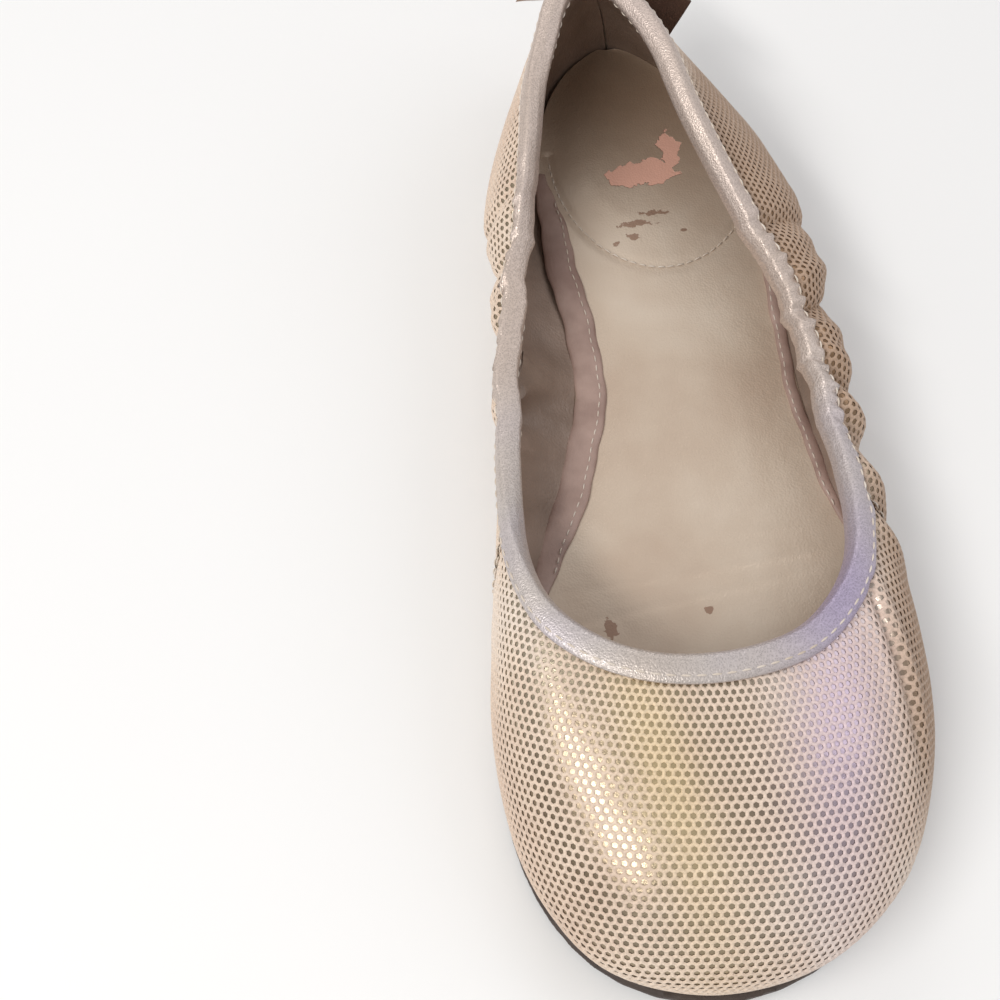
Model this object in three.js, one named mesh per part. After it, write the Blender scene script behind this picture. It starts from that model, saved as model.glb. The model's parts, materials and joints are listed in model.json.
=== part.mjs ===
// One elasticated ballet slipper, the wearer's left one, in millimetres.
// The toe points along -Y, the outer (lateral) side is +X, and the sole rests on z = 0.
//
// The upper is drawn once, as a grid of columns that run round the foot and rows that
// climb from the turned-in margin under the foot to the fold of the topline binding.
// Every layer of the upper is that grid set inwards by the layer's own depth.
import * as THREE from 'three';

// ---- driving sizes -----------------------------------------------------------------
const SLIPPER_LENGTH = 241; // over the widest line of the upper
const BALL_WIDTH = 92; // over the widest line of the upper
const THROAT_HEIGHT = 40; // fold of the binding at the front of the opening
const SIDE_HEIGHT = 33; // fold of the binding at the waist
const HEEL_HEIGHT = 58; // fold of the binding at the back
const TOE_SPRING = 3; // rise of the sole's tip off the floor
const HEEL_RISE = 5; // rise of the outsole over the heel lift

const CONTACT_GAP = 0.3; // clearance between pieces that touch
const OUTSOLE_THICKNESS = 3;
const OUTSOLE_REVEAL = 1.5; // how far the outsole's edge shows outside the feather edge
const LIFT_FRONT = 58; // front edge of the heel lift, behind the slipper's middle
const LIFT_INSET = 0.8;
const MESH_THICKNESS = 0.7;
const UPPER_THICKNESS = 0.9;
const STIFFENER_THICKNESS = 0.8; // toe puff and heel counter
const LINING_THICKNESS = 0.8;
const MARGIN_WIDTH = 13; // turned-in margin of the upper under the insole board
const FEATHER_INSET = 3.4; // the rounded turn under the foot, across
const FEATHER_RISE = 2.8; // and up
const FILLER_CLEARANCE = 1.5; // bottom filler to the margins round it
const BOARD_THICKNESS = 1.5;
const FOAM_THICKNESS = 2.5;
const HEEL_PAD_THICKNESS = 1.3;
const SOCK_THICKNESS = 0.8;
const SOCK_CLEARANCE = 0.6; // footbed pieces to the lining
const HEEL_PAD_FRONT = 50; // front of the heel pad's arc, behind the slipper's middle
const HEEL_PAD_RADIUS = 26;
const SOCK_STEP = [17, 10]; // the sock lining climbs onto the heel pad between these, ahead of it
const BINDING_THICKNESS = 0.8;
const BINDING_DROP = 6; // fold of the binding to the edge of its legs
const RAW_EDGE_DROP = 3.6; // fold of the binding to the cut edge of the upper inside it
const ELASTIC_WIDTH = 1.8;
const ELASTIC_THICKNESS = 1.6;
const STAY_HALF_COLUMNS = 0.7; // half width of the back stay, in columns of the grid
const BOW_HEIGHT = 36; // centre of the bow above the floor
const BOW_SPAN = 44;
const BOW_LOOP_DEPTH = 5.4; // front to back of a loop at its fullest
const BOW_END_HEIGHT = 13;
const BOW_WAIST_HEIGHT = 9;
const BOW_STRAP_THICKNESS = 1.1;
const BOW_TILT = 22; // degrees, the way the bow hangs at rest
const BOW_SWING = 32; // degrees from level, the most that the bow turns either way
const BOW_CLEARANCE = 1.2; // between the bow and the heel, wherever it turns
const BOW_WRAP = 10; // how far forward the bow's ends curve round the heel
const LOOP_HOLE = [0.3, 0.86]; // where a loop is open, in shares of its length
const KNOT_WIDTH = 8;
const THREAD_RADIUS = 0.8;

// ---- depths of the layers, inwards from the outside of the mesh ------------------------
const MESH_DEPTH = [0, MESH_THICKNESS];
const UPPER_DEPTH = stack(MESH_DEPTH, UPPER_THICKNESS);
const STIFFENER_DEPTH = stack(UPPER_DEPTH, STIFFENER_THICKNESS);
const LINING_DEPTH = stack(UPPER_DEPTH, LINING_THICKNESS);
const LINING_STEP = STIFFENER_THICKNESS + CONTACT_GAP; // lining over a stiffener
const OUTER_LEG_DEPTH = [-CONTACT_GAP - BINDING_THICKNESS, -CONTACT_GAP];
const INNER_LEG_DEPTH = stack(LINING_DEPTH, BINDING_THICKNESS);

// ---- heights of the flat pieces under the foot, over the sole's own rise ---------------
const UPPER_BASE = OUTSOLE_THICKNESS + CONTACT_GAP;
const MARGIN_TOP = UPPER_BASE + LINING_DEPTH[1] + LINING_STEP;
const BOARD_LEVEL = stack([0, MARGIN_TOP], BOARD_THICKNESS);
const FOAM_LEVEL = stack(BOARD_LEVEL, FOAM_THICKNESS);
const HEEL_PAD_LEVEL = stack(FOAM_LEVEL, HEEL_PAD_THICKNESS);
const SOCK_LEVEL = stack(FOAM_LEVEL, SOCK_THICKNESS);

function stack(below, thickness) {
  return [below[1] + CONTACT_GAP, below[1] + CONTACT_GAP + thickness];
}

// ---- the last: three outlines with a point for each of 24 stations --------------------
// Station 0 is the toe's middle, 6 the lateral waist, 12 the heel's middle and 18 the
// medial waist. They are drawn for a last 241 long and 92 wide and graded to the sizes.
const LAST_LENGTH = 241;
const LAST_WIDTH = 92;
const LENGTH_GRADE = SLIPPER_LENGTH / LAST_LENGTH;
const WIDTH_GRADE = BALL_WIDTH / LAST_WIDTH;
// The margin narrows where a slimmer or longer heel would make it meet itself.
const MARGIN_INSET = MARGIN_WIDTH * Math.min(1, WIDTH_GRADE ** 2 / LENGTH_GRADE);
const STATIONS = 24;

// Feather edge: where the upper turns under the foot.
const FEATHER_EDGE = [
  [-4, -119.4], [17, -115], [34, -101], [43.5, -81], [45.5, -60], [43, -36],
  [37.5, -12], [33, 12], [30.5, 36], [29.5, 59], [27, 82], [18.5, 106],
  [-2, 118.5], [-18.5, 108.5], [-24, 89], [-22.5, 66], [-17.5, 43], [-13.5, 20],
  [-17.5, -4], [-27.5, -28], [-37.5, -52], [-40.5, -76], [-35, -98], [-23, -113],
];
// Widest line of the wall: across, along and height.
const WIDEST_LINE = [
  [-4, -120.6, 14], [18.5, -116.5, 14], [36.5, -101, 15], [46.3, -80.5, 15],
  [48.8, -60, 16], [47, -38, 19], [43, -15, 23], [41, 8, 25],
  [40, 34, 26], [37.5, 60, 25], [31, 83, 22], [21, 103.5, 17],
  [-2.5, 119.5, 19], [-20.5, 107, 22], [-30.5, 86, 25], [-38.4, 59, 27],
  [-38, 39, 28], [-37.3, 17, 28], [-38.6, -5, 26], [-40.5, -28, 22],
  [-43, -52, 17], [-43.2, -75, 15], [-37, -98.5, 14], [-24.5, -115, 14],
];
// Fold of the topline binding: across, along, and the share of the way up from the
// side height to the throat height (ahead of the waist) or to the heel height (behind it).
const TOPLINE = [
  [-2, -60, 1], [8.5, -58.8, 0.95], [18.5, -55, 0.75], [26.5, -47.5, 0.5],
  [32, -38, 0.25], [34, -26, 0.05], [32.8, -8, 0], [30, 9, 0.02],
  [26, 27, 0.14], [18.5, 44, 0.36], [9.5, 65, 0.7], [2.5, 87, 0.93],
  [-10.5, 104, 1], [-21, 97.5, 0.97], [-26, 82, 0.88], [-26.5, 63, 0.7],
  [-28.8, 46, 0.42], [-34.5, 24, 0.12], [-36.8, 2, 0], [-37.3, -18, 0.05],
  [-35.3, -34, 0.25], [-30, -46.5, 0.5], [-21.5, -54.5, 0.75], [-12, -58.8, 0.95],
];
// How full the wall is between its widest line and the topline: 0 is a straight line.
const FULLNESS = [
  0.72, 0.72, 0.7, 0.66, 0.62, 0.6, 0.6, 0.6, 0.55, 0.45, 0.3, 0.15,
  0.35, 0.45, 0.5, 0.5, 0.45, 0.4, 0.45, 0.55, 0.62, 0.66, 0.7, 0.72,
];

const COLUMNS = 72;
const WALL_SPANS = 7;
const MARGIN_ROW = 1; // outer end of the turned-in margin
const WALL_ROW = 2; // foot of the wall
const LEG_ROW = WALL_ROW + WALL_SPANS; // edge of the binding's legs
const RAW_ROW = LEG_ROW + 1; // cut edge of the upper
const FOLD_ROW = RAW_ROW + 1;
const PUFF_COLUMNS = 8; // half width of the toe puff
const PUFF_TOP_ROW = WALL_ROW + 3;
const COUNTER_COLUMNS = 9; // half width of the heel counter
const COUNTER_TOP_ROW = WALL_ROW + 5;
const HEEL_COLUMN = COLUMNS / 2;
const LATERAL_SEAM_COLUMN = 16;
const MEDIAL_SEAM_COLUMN = -14;
const SEAM_COLUMNS = 0.035; // clearance on each side of a seam, in columns

// Rise of the sole over the floor: toe spring ahead of the ball, heel rise behind it.
const SPRING_START = -72; // where the toe begins to lift off the floor
const SPRING_RUN = 50;
const WAIST_START = 2; // where the sole begins to climb onto the heel lift
const WAIST_RUN = 52;

function soleRise(y) {
  const springStart = SPRING_START * LENGTH_GRADE;
  const springRun = SPRING_RUN * LENGTH_GRADE;
  const waistStart = WAIST_START * LENGTH_GRADE;
  const waistRun = WAIST_RUN * LENGTH_GRADE;
  const ahead = Math.max(0, (springStart - y) / springRun);
  const behind = THREE.MathUtils.smoothstep(y, waistStart, waistStart + waistRun);
  return TOE_SPRING * ahead * ahead + HEEL_RISE * behind;
}

function closedCurve(points) {
  return new THREE.CatmullRomCurve3(points, true, 'centripetal');
}

function onCurve(curve, column) {
  return curve.getPoint((((column % COLUMNS) + COLUMNS) % COLUMNS) / COLUMNS);
}

function graded([x, y, z = 0]) {
  return new THREE.Vector3(x * WIDTH_GRADE, y * LENGTH_GRADE, z);
}

function toplinePoint([x, y, share]) {
  const top = y < 0 ? THROAT_HEIGHT : HEEL_HEIGHT;
  return graded([x, y, SIDE_HEIGHT + share * (top - SIDE_HEIGHT)]);
}

const featherCurve = closedCurve(FEATHER_EDGE.map(graded));
const widestCurve = closedCurve(WIDEST_LINE.map(graded));
const toplineCurve = closedCurve(TOPLINE.map(toplinePoint));
const fullnessCurve = closedCurve(FULLNESS.map((full) => new THREE.Vector3(full, 0, 0)));

// A point of the feather edge moved inwards in the plane of the sole.
function insetFeather(column, inset) {
  const before = onCurve(featherCurve, column - 0.5);
  const after = onCurve(featherCurve, column + 0.5);
  const along = after.sub(before).normalize();
  const point = onCurve(featherCurve, column);
  return point.add(new THREE.Vector3(-along.y, along.x, 0).multiplyScalar(inset));
}

function wallLine(column) {
  const foot = onCurve(featherCurve, column);
  const wide = onCurve(widestCurve, column);
  const top = onCurve(toplineCurve, column);
  const full = onCurve(fullnessCurve, column).x;
  foot.z = UPPER_BASE + FEATHER_RISE + soleRise(foot.y);
  const low = foot.clone().lerp(wide, 0.85);
  low.z = THREE.MathUtils.lerp(foot.z, wide.z, 0.4);
  const shoulder = wide.clone().lerp(top, (1 - full) / 2);
  shoulder.z = THREE.MathUtils.lerp(wide.z, top.z, (1 + full) / 2);
  const path = new THREE.CurvePath();
  path.add(new THREE.QuadraticBezierCurve3(foot, low, wide));
  path.add(new THREE.QuadraticBezierCurve3(wide, shoulder, top));
  return path;
}

// The rows of one column on the outside of the mesh.
function columnRows(column) {
  const inner = insetFeather(column, MARGIN_INSET);
  const outer = insetFeather(column, FEATHER_INSET);
  inner.z = UPPER_BASE + soleRise(inner.y);
  outer.z = UPPER_BASE + soleRise(outer.y);
  const wall = wallLine(column);
  const length = wall.getLength();
  const rows = [inner, outer];
  for (let span = 0; span <= WALL_SPANS; span += 1) {
    rows.push(wall.getPoint((span / WALL_SPANS) * (1 - BINDING_DROP / length)));
  }
  rows.push(wall.getPoint(1 - RAW_EDGE_DROP / length));
  rows.push(wall.getPoint(1));
  return rows;
}

const grid = Array.from({ length: COLUMNS }, (_, column) => columnRows(column));

function gridColumn(column) {
  return grid[((column % COLUMNS) + COLUMNS) % COLUMNS];
}

// Inward normals of the grid, from its neighbours on both sides.
function inwardNormal(column, row) {
  const along = gridColumn(column + 1)[row].clone().sub(gridColumn(column - 1)[row]);
  const rows = gridColumn(column);
  const next = rows[Math.min(row + 1, FOLD_ROW)];
  const last = rows[Math.max(row - 1, 0)];
  const climb = next.clone().sub(last);
  return climb.cross(along).normalize();
}

const normals = grid.map((rows, column) => rows.map((_, row) => inwardNormal(column, row)));

// A point of the upper at any depth. Columns and rows between grid lines are straight.
function upperPoint(column, row, depth) {
  const firstColumn = Math.floor(column);
  const firstRow = Math.min(Math.floor(row), FOLD_ROW - 1);
  const point = new THREE.Vector3();
  for (const c of [firstColumn, firstColumn + 1]) {
    for (const r of [firstRow, firstRow + 1]) {
      const share = (1 - Math.abs(column - c)) * (1 - Math.abs(row - r));
      const wrapped = ((c % COLUMNS) + COLUMNS) % COLUMNS;
      const corner = grid[wrapped][r].clone().addScaledVector(normals[wrapped][r], depth);
      point.addScaledVector(corner, share);
    }
  }
  return point;
}

// ---- closed meshes from grids of points -------------------------------------------------
function solid(vertices, triangles) {
  const geometry = new THREE.BufferGeometry();
  const numbers = vertices.flatMap((vertex) => vertex.toArray());
  geometry.setAttribute('position', new THREE.Float32BufferAttribute(numbers, 3));
  geometry.setIndex(triangles);
  geometry.computeVertexNormals();
  return geometry;
}

// A bar whose sections all have the same number of corners; looped, its ends meet.
// Faces that lie on each other are split along the same, climbing, diagonal.
function sweepSections(sections, looped) {
  const corners = sections[0].length;
  const vertices = sections.flat();
  const triangles = [];
  const count = sections.length;
  const spans = looped ? count : count - 1;
  for (let i = 0; i < spans; i += 1) {
    const here = i * corners;
    const next = ((i + 1) % count) * corners;
    for (let j = 0; j < corners; j += 1) {
      const k = (j + 1) % corners;
      if (vertices[here + k].z > vertices[here + j].z) {
        triangles.push(here + j, here + k, next + k, here + j, next + k, next + j);
      } else {
        triangles.push(here + j, here + k, next + j, here + k, next + k, next + j);
      }
    }
  }
  if (!looped) {
    triangles.push(...endCap(0, corners, false), ...endCap((count - 1) * corners, corners, true));
  }
  return solid(vertices, triangles);
}

// The cap of a sheet's section, whose corners run up one face and back down the other.
function endCap(first, corners, flipped) {
  const triangles = [];
  for (let j = 0; j < corners / 2 - 1; j += 1) {
    const a = first + j;
    const b = first + j + 1;
    const c = first + corners - 2 - j;
    const d = first + corners - 1 - j;
    const quad = [a, c, b, a, d, c];
    triangles.push(...(flipped ? quad.reverse() : quad));
  }
  return triangles;
}

// Columns from one seam to the other, with the seam's clearance at both ends.
function columnSpan(from, to) {
  const columns = [from + SEAM_COLUMNS];
  for (let column = Math.floor(from + 1); column < to; column += 1) {
    columns.push(column);
  }
  columns.push(to - SEAM_COLUMNS);
  return columns;
}

// One layer of the upper between two columns and two rows.
function layer(from, to, firstRow, lastRow, depthAt) {
  const sections = columnSpan(from, to).map((column) => {
    const outside = [];
    const inside = [];
    for (let row = firstRow; row <= lastRow; row += 1) {
      const [outer, inner] = depthAt(column, row);
      outside.push(upperPoint(column, row, outer));
      inside.push(upperPoint(column, row, inner));
    }
    return inside.concat(outside.reverse());
  });
  return sweepSections(sections, false);
}

const meshDepth = () => MESH_DEPTH;
const upperDepth = () => UPPER_DEPTH;
const stiffenerDepth = () => STIFFENER_DEPTH;

// 1 over a stiffener, falling to 0 over two columns beyond its sides or rows above its top.
function cover(column, row, middle, halfWidth, topRow) {
  const around = Math.abs(((column - middle + COLUMNS * 1.5) % COLUMNS) - COLUMNS / 2);
  const beside = THREE.MathUtils.clamp((halfWidth + 3 - around) / 2, 0, 1);
  const above = THREE.MathUtils.clamp((topRow + 2 - row) / 2, 0, 1);
  return Math.min(beside, above);
}

function liningDepth(column, row) {
  const toe = cover(column, row, 0, PUFF_COLUMNS, PUFF_TOP_ROW);
  const heel = cover(column, row, HEEL_COLUMN, COUNTER_COLUMNS, COUNTER_TOP_ROW);
  const margin = row <= MARGIN_ROW ? 1 : 0;
  const step = LINING_STEP * Math.max(toe, heel, margin);
  return [LINING_DEPTH[0] + step, LINING_DEPTH[1] + step];
}

// ---- topline binding and its elastic ------------------------------------------------------
// Corners of these sections are [drop below the fold, depth], from outside to inside.
function rowBelowFold(drop) {
  return drop < RAW_EDGE_DROP
    ? FOLD_ROW - drop / RAW_EDGE_DROP
    : RAW_ROW - (drop - RAW_EDGE_DROP) / (BINDING_DROP - RAW_EDGE_DROP);
}

function toplineRing(corners) {
  const section = corners.reverse();
  const sections = [];
  for (let column = 0; column < COLUMNS; column += 1) {
    sections.push(section.map(([drop, depth]) => upperPoint(column, rowBelowFold(drop), depth)));
  }
  return sweepSections(sections, true);
}

function bindingGeometry() {
  const [outside, outerLeg] = OUTER_LEG_DEPTH;
  const [innerLeg, inside] = INNER_LEG_DEPTH;
  const round = BINDING_THICKNESS;
  return toplineRing([
    [BINDING_DROP, outside], [RAW_EDGE_DROP, outside], [round, outside], [0, outside + round],
    [0, inside - round], [round, inside], [RAW_EDGE_DROP, inside], [BINDING_DROP, inside],
    [BINDING_DROP, innerLeg], [RAW_EDGE_DROP, innerLeg], [round, innerLeg - CONTACT_GAP],
    [round, outerLeg + CONTACT_GAP], [RAW_EDGE_DROP, outerLeg], [BINDING_DROP, outerLeg],
  ]);
}

function elasticGeometry() {
  const top = BINDING_THICKNESS + 2 * CONTACT_GAP;
  const bottom = top + ELASTIC_WIDTH;
  const middle = (OUTER_LEG_DEPTH[1] + INNER_LEG_DEPTH[0]) / 2;
  const half = ELASTIC_THICKNESS / 2;
  return toplineRing([
    [bottom, middle - half], [top, middle - half], [top, middle + half], [bottom, middle + half],
  ]);
}

// ---- flat pieces under the foot --------------------------------------------------------------
// Lines across the foot, shared by every flat piece so that their faces stay parallel.
const CROSS_LINES = 44;
const FRONT_END = -124 * LENGTH_GRADE;
const BACK_END = 128 * LENGTH_GRADE;
const crossLines = Array.from({ length: CROSS_LINES + 1 }, (_, i) => {
  const share = (1 - Math.cos((Math.PI * i) / CROSS_LINES)) / 2;
  return FRONT_END + share * (BACK_END - FRONT_END);
});

// A height that is straight between the cross lines.
function onLines(heightAt, y) {
  const next = crossLines.findIndex((line) => line > y);
  const [from, to] = [crossLines[next - 1], crossLines[next]];
  return THREE.MathUtils.lerp(heightAt(from), heightAt(to), (y - from) / (to - from));
}

function riseOnLines(y) {
  return onLines(soleRise, y);
}

// The outline of the space inside the lining at a level over the sole's rise.
function insideOutline(level) {
  return grid.map((_, column) => {
    let below = upperPoint(column, MARGIN_ROW, liningDepth(column, MARGIN_ROW)[1]);
    for (let row = WALL_ROW; row < LEG_ROW; row += 1) {
      const above = upperPoint(column, row, liningDepth(column, row)[1]);
      const lowGap = level - (below.z - soleRise(below.y));
      const highGap = level - (above.z - soleRise(above.y));
      if (highGap <= 0) {
        return below.clone().lerp(above, THREE.MathUtils.clamp(lowGap / (lowGap - highGap), 0, 1));
      }
      below = above;
    }
    return below;
  });
}

function featherOutline(inset) {
  return grid.map((_, column) => insetFeather(column, inset));
}

// The two x values where an outline crosses a line across the foot.
function crossing(outline, y) {
  const found = [];
  outline.forEach((point, i) => {
    const next = outline[(i + 1) % outline.length];
    if ((point.y <= y) !== (next.y <= y)) {
      found.push(point.x + ((y - point.y) / (next.y - point.y)) * (next.x - point.x));
    }
  });
  return [Math.min(...found), Math.max(...found)];
}

// A plate that follows the sole's rise: its sides are where spanAt says, on every line.
function plate(spanAt, [front, back], [low, high], floorAt = riseOnLines, extraAt = () => 0) {
  const between = crossLines.filter((y) => y > front + 1 && y < back - 1);
  const sections = [front, ...between, back].map((y) => {
    const [left, right] = spanAt(y);
    const bottom = low + floorAt(y) + extraAt(y);
    const top = high + riseOnLines(y) + extraAt(y);
    return [
      new THREE.Vector3(left, y, bottom), new THREE.Vector3(left, y, top),
      new THREE.Vector3(right, y, top), new THREE.Vector3(right, y, bottom),
    ];
  });
  return sweepSections(sections, false);
}

const END_MARGIN = 0.4; // a plate's flat ends lie this far inside its outline's tips

function outlineEnds(outline, inset) {
  const ys = outline.map((point) => point.y);
  return [Math.min(...ys) + inset + END_MARGIN, Math.max(...ys) - inset - END_MARGIN];
}

function insetSpan(outline, inset) {
  return (y) => {
    const [left, right] = crossing(outline, y);
    const pinch = Math.min(inset, (right - left) / 3);
    return [left + pinch, right - pinch];
  };
}

function outsoleGeometry() {
  const outline = featherOutline(-OUTSOLE_REVEAL);
  return plate(insetSpan(outline, 0), outlineEnds(outline, 0), [0, OUTSOLE_THICKNESS]);
}

function heelLiftGeometry() {
  const outline = featherOutline(-OUTSOLE_REVEAL);
  const ends = [LIFT_FRONT * LENGTH_GRADE, outlineEnds(outline, LIFT_INSET)[1]];
  return plate(insetSpan(outline, LIFT_INSET), ends, [0, -CONTACT_GAP], () => 0);
}

function fillerGeometry() {
  const outline = featherOutline(MARGIN_INSET);
  const inset = FILLER_CLEARANCE;
  return plate(insetSpan(outline, inset), outlineEnds(outline, inset), [UPPER_BASE, MARGIN_TOP]);
}

// A footbed piece fills the space inside the lining, at both its lowest and highest level.
function footbedPlate([low, high], extraAt, highest = high) {
  const outlines = [insideOutline(low), insideOutline(highest)];
  const spans = outlines.map((outline) => insetSpan(outline, SOCK_CLEARANCE));
  const tightSpan = (y) => {
    const [lefts, rights] = [0, 1].map((side) => spans.map((span) => span(y)[side]));
    return [Math.max(...lefts), Math.min(...rights)];
  };
  const ends = outlines.map((outline) => outlineEnds(outline, SOCK_CLEARANCE));
  const limits = [Math.max(ends[0][0], ends[1][0]), Math.min(ends[0][1], ends[1][1])];
  return plate(tightSpan, limits, [low, high], riseOnLines, extraAt);
}

// The heel pad lies on the foam, and its front edge is an arc.
function heelPadGeometry() {
  const outline = insideOutline(FOAM_LEVEL[1]);
  const span = insetSpan(outline, SOCK_CLEARANCE + 1);
  const centre = HEEL_PAD_FRONT * LENGTH_GRADE + HEEL_PAD_RADIUS;
  const arcSpan = (y) => {
    const [left, right] = span(y);
    const middle = (left + right) / 2;
    const ahead = Math.max(0, centre - y);
    const half = Math.sqrt(Math.max(1, HEEL_PAD_RADIUS ** 2 - ahead ** 2));
    return [Math.max(left, middle - half), Math.min(right, middle + half)];
  };
  const back = outlineEnds(outline, SOCK_CLEARANCE + 1)[1];
  return plate(arcSpan, [HEEL_PAD_FRONT * LENGTH_GRADE + END_MARGIN, back], HEEL_PAD_LEVEL);
}

// The sock lining steps up over the heel pad.
function sockStep(y) {
  const rise = (at) => {
    const padFront = HEEL_PAD_FRONT * LENGTH_GRADE;
    return THREE.MathUtils.smoothstep(at, padFront - SOCK_STEP[0], padFront - SOCK_STEP[1]);
  };
  return (HEEL_PAD_THICKNESS + CONTACT_GAP) * onLines(rise, y);
}

// ---- heel bow -----------------------------------------------------------------------------
// Where the back stay's face passes a height.
function heelFaceAt(height) {
  for (let row = WALL_ROW; row < FOLD_ROW; row += 1) {
    const below = upperPoint(HEEL_COLUMN, row, OUTER_LEG_DEPTH[0]);
    const above = upperPoint(HEEL_COLUMN, row + 1, OUTER_LEG_DEPTH[0]);
    if (above.z > height) {
      return below.lerp(above, (height - below.z) / (above.z - below.z));
    }
  }
  return upperPoint(HEEL_COLUMN, FOLD_ROW, OUTER_LEG_DEPTH[0]);
}

// The bow curves round the heel; this is how far forward it is at a distance from its middle.
function bowWrap(distance) {
  return BOW_WRAP * (distance / (BOW_SPAN / 2)) ** 2;
}

// Whether the turning bow sweeps over a point this far across and this far from its middle.
function bowSweeps(across, height, distance) {
  const slope = Math.tan(THREE.MathUtils.degToRad(BOW_SWING));
  const reach = loopHeight(distance / (BOW_SPAN / 2)) / 2 + across * slope;
  return height < reach && distance < BOW_SPAN / 2 + BOW_CLEARANCE;
}

const BOW_REACH_COLUMNS = 12; // columns of the heel on each side that the bow can reach
const ROW_STEP = 0.25;

// Far enough back for the turning bow to clear the heel everywhere it sweeps.
function bowCentre() {
  const centre = heelFaceAt(BOW_HEIGHT);
  let back = centre.y;
  for (let side = -BOW_REACH_COLUMNS; side <= BOW_REACH_COLUMNS; side += 1) {
    for (let row = WALL_ROW; row <= FOLD_ROW; row += ROW_STEP) {
      const point = upperPoint(HEEL_COLUMN + side, row, OUTER_LEG_DEPTH[0]);
      const across = Math.abs(point.x - centre.x);
      const height = Math.abs(point.z - centre.z);
      const distance = Math.hypot(across, height);
      if (bowSweeps(across, height, distance)) {
        back = Math.max(back, point.y + bowWrap(distance));
      }
    }
  }
  centre.y = back + BOW_CLEARANCE + BOW_LOOP_DEPTH / 2;
  return centre;
}

function loopHalfDepth(share) {
  const solidHalf = BOW_STRAP_THICKNESS;
  return solidHalf + (BOW_LOOP_DEPTH / 2 - solidHalf) * Math.sin(Math.PI * share) ** 0.7;
}

function loopHeight(share) {
  return THREE.MathUtils.lerp(BOW_WAIST_HEIGHT, BOW_END_HEIGHT, share ** 0.8);
}

// One side of a loop's plan outline, from one share of the half span to another.
function loopSide(side, face, from, to, thin) {
  const points = [];
  const steps = 9;
  for (let i = 0; i <= steps; i += 1) {
    const share = from + ((to - from) * i) / steps;
    const x = (side * share * BOW_SPAN) / 2;
    const half = loopHalfDepth(share) - thin;
    points.push(new THREE.Vector2(x, face * half - bowWrap(x)));
  }
  return points;
}

function bowLoopsGeometry() {
  const left = loopSide(-1, -1, 1, 0, 0);
  const right = loopSide(1, -1, 0, 1, 0).slice(1);
  const backRight = loopSide(1, 1, 1, 0, 0);
  const backLeft = loopSide(-1, 1, 0, 1, 0).slice(1);
  const shape = new THREE.Shape([...left, ...right, ...backRight, ...backLeft]);
  for (const side of [-1, 1]) {
    const front = loopSide(side, -1, LOOP_HOLE[0], LOOP_HOLE[1], BOW_STRAP_THICKNESS);
    const back = loopSide(side, 1, LOOP_HOLE[1], LOOP_HOLE[0], BOW_STRAP_THICKNESS);
    shape.holes.push(new THREE.Path([...front, ...back]));
  }
  const geometry = new THREE.ExtrudeGeometry(shape, { depth: 1, bevelEnabled: false });
  const position = geometry.attributes.position;
  for (let i = 0; i < position.count; i += 1) {
    const share = Math.min(1, Math.abs(position.getX(i)) / (BOW_SPAN / 2));
    position.setZ(i, (position.getZ(i) - 0.5) * loopHeight(share));
  }
  geometry.computeVertexNormals();
  return geometry;
}

function roundedRectangle(width, height, radius, Type) {
  const path = new Type();
  const x = width / 2;
  const y = height / 2;
  path.moveTo(x, -y + radius);
  path.lineTo(x, y - radius);
  path.absarc(x - radius, y - radius, radius, 0, Math.PI / 2);
  path.lineTo(-x + radius, y);
  path.absarc(-x + radius, y - radius, radius, Math.PI / 2, Math.PI);
  path.lineTo(-x, -y + radius);
  path.absarc(-x + radius, -y + radius, radius, Math.PI, Math.PI * 1.5);
  path.lineTo(x - radius, -y);
  path.absarc(x - radius, -y + radius, radius, Math.PI * 1.5, Math.PI * 2);
  return path;
}

const KNOT_HOLE_SHARE = 1.4; // how far out along the loops' own openings the band still clears them
const KNOT_CORNER = 1.6;

// A band wrapped round the middle of the loops.
function bowKnotGeometry() {
  const share = KNOT_WIDTH / BOW_SPAN;
  const insideDepth = 2 * (loopHalfDepth(share) + bowWrap(KNOT_WIDTH / 2) + CONTACT_GAP);
  const insideHeight = loopHeight(LOOP_HOLE[0] * KNOT_HOLE_SHARE) + 2 * CONTACT_GAP;
  const wall = 2 * BOW_STRAP_THICKNESS;
  const shape = roundedRectangle(insideDepth + wall, insideHeight + wall, KNOT_CORNER, THREE.Shape);
  shape.holes.push(roundedRectangle(insideDepth, insideHeight, CONTACT_GAP / 2, THREE.Path));
  const settings = { depth: KNOT_WIDTH, bevelEnabled: false, curveSegments: 3 };
  const geometry = new THREE.ExtrudeGeometry(shape, settings);
  geometry.translate(0, 0, -KNOT_WIDTH / 2);
  geometry.rotateX(Math.PI / 2);
  geometry.rotateZ(Math.PI / 2);
  return geometry;
}

// ---- the object ---------------------------------------------------------------------------
const slipper = new THREE.Group();

function addPiece(name, geometry, color, roughness, metalness, parent = slipper) {
  const material = new THREE.MeshStandardMaterial({ color, roughness, metalness });
  const mesh = new THREE.Mesh(geometry, material);
  mesh.name = name;
  parent.add(mesh);
  return mesh;
}

function addBottom() {
  addPiece('outsole', outsoleGeometry(), 0x3a2c28, 0.7, 0);
  addPiece('heel_lift', heelLiftGeometry(), 0x2e2320, 0.7, 0);
  addPiece('bottom_filler', fillerGeometry(), 0x8c7a63, 0.95, 0);
  addPiece('insole_board', footbedPlate(BOARD_LEVEL), 0xb39a74, 0.9, 0);
  addPiece('footbed_foam', footbedPlate(FOAM_LEVEL), 0xe79f8a, 0.9, 0);
  addPiece('heel_pad', heelPadGeometry(), 0xe8a28c, 0.9, 0);
  const sockTop = SOCK_LEVEL[1] + HEEL_PAD_THICKNESS + CONTACT_GAP;
  addPiece('sock_lining', footbedPlate(SOCK_LEVEL, sockStep, sockTop), 0xbca994, 0.5, 0.3);
}

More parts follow.
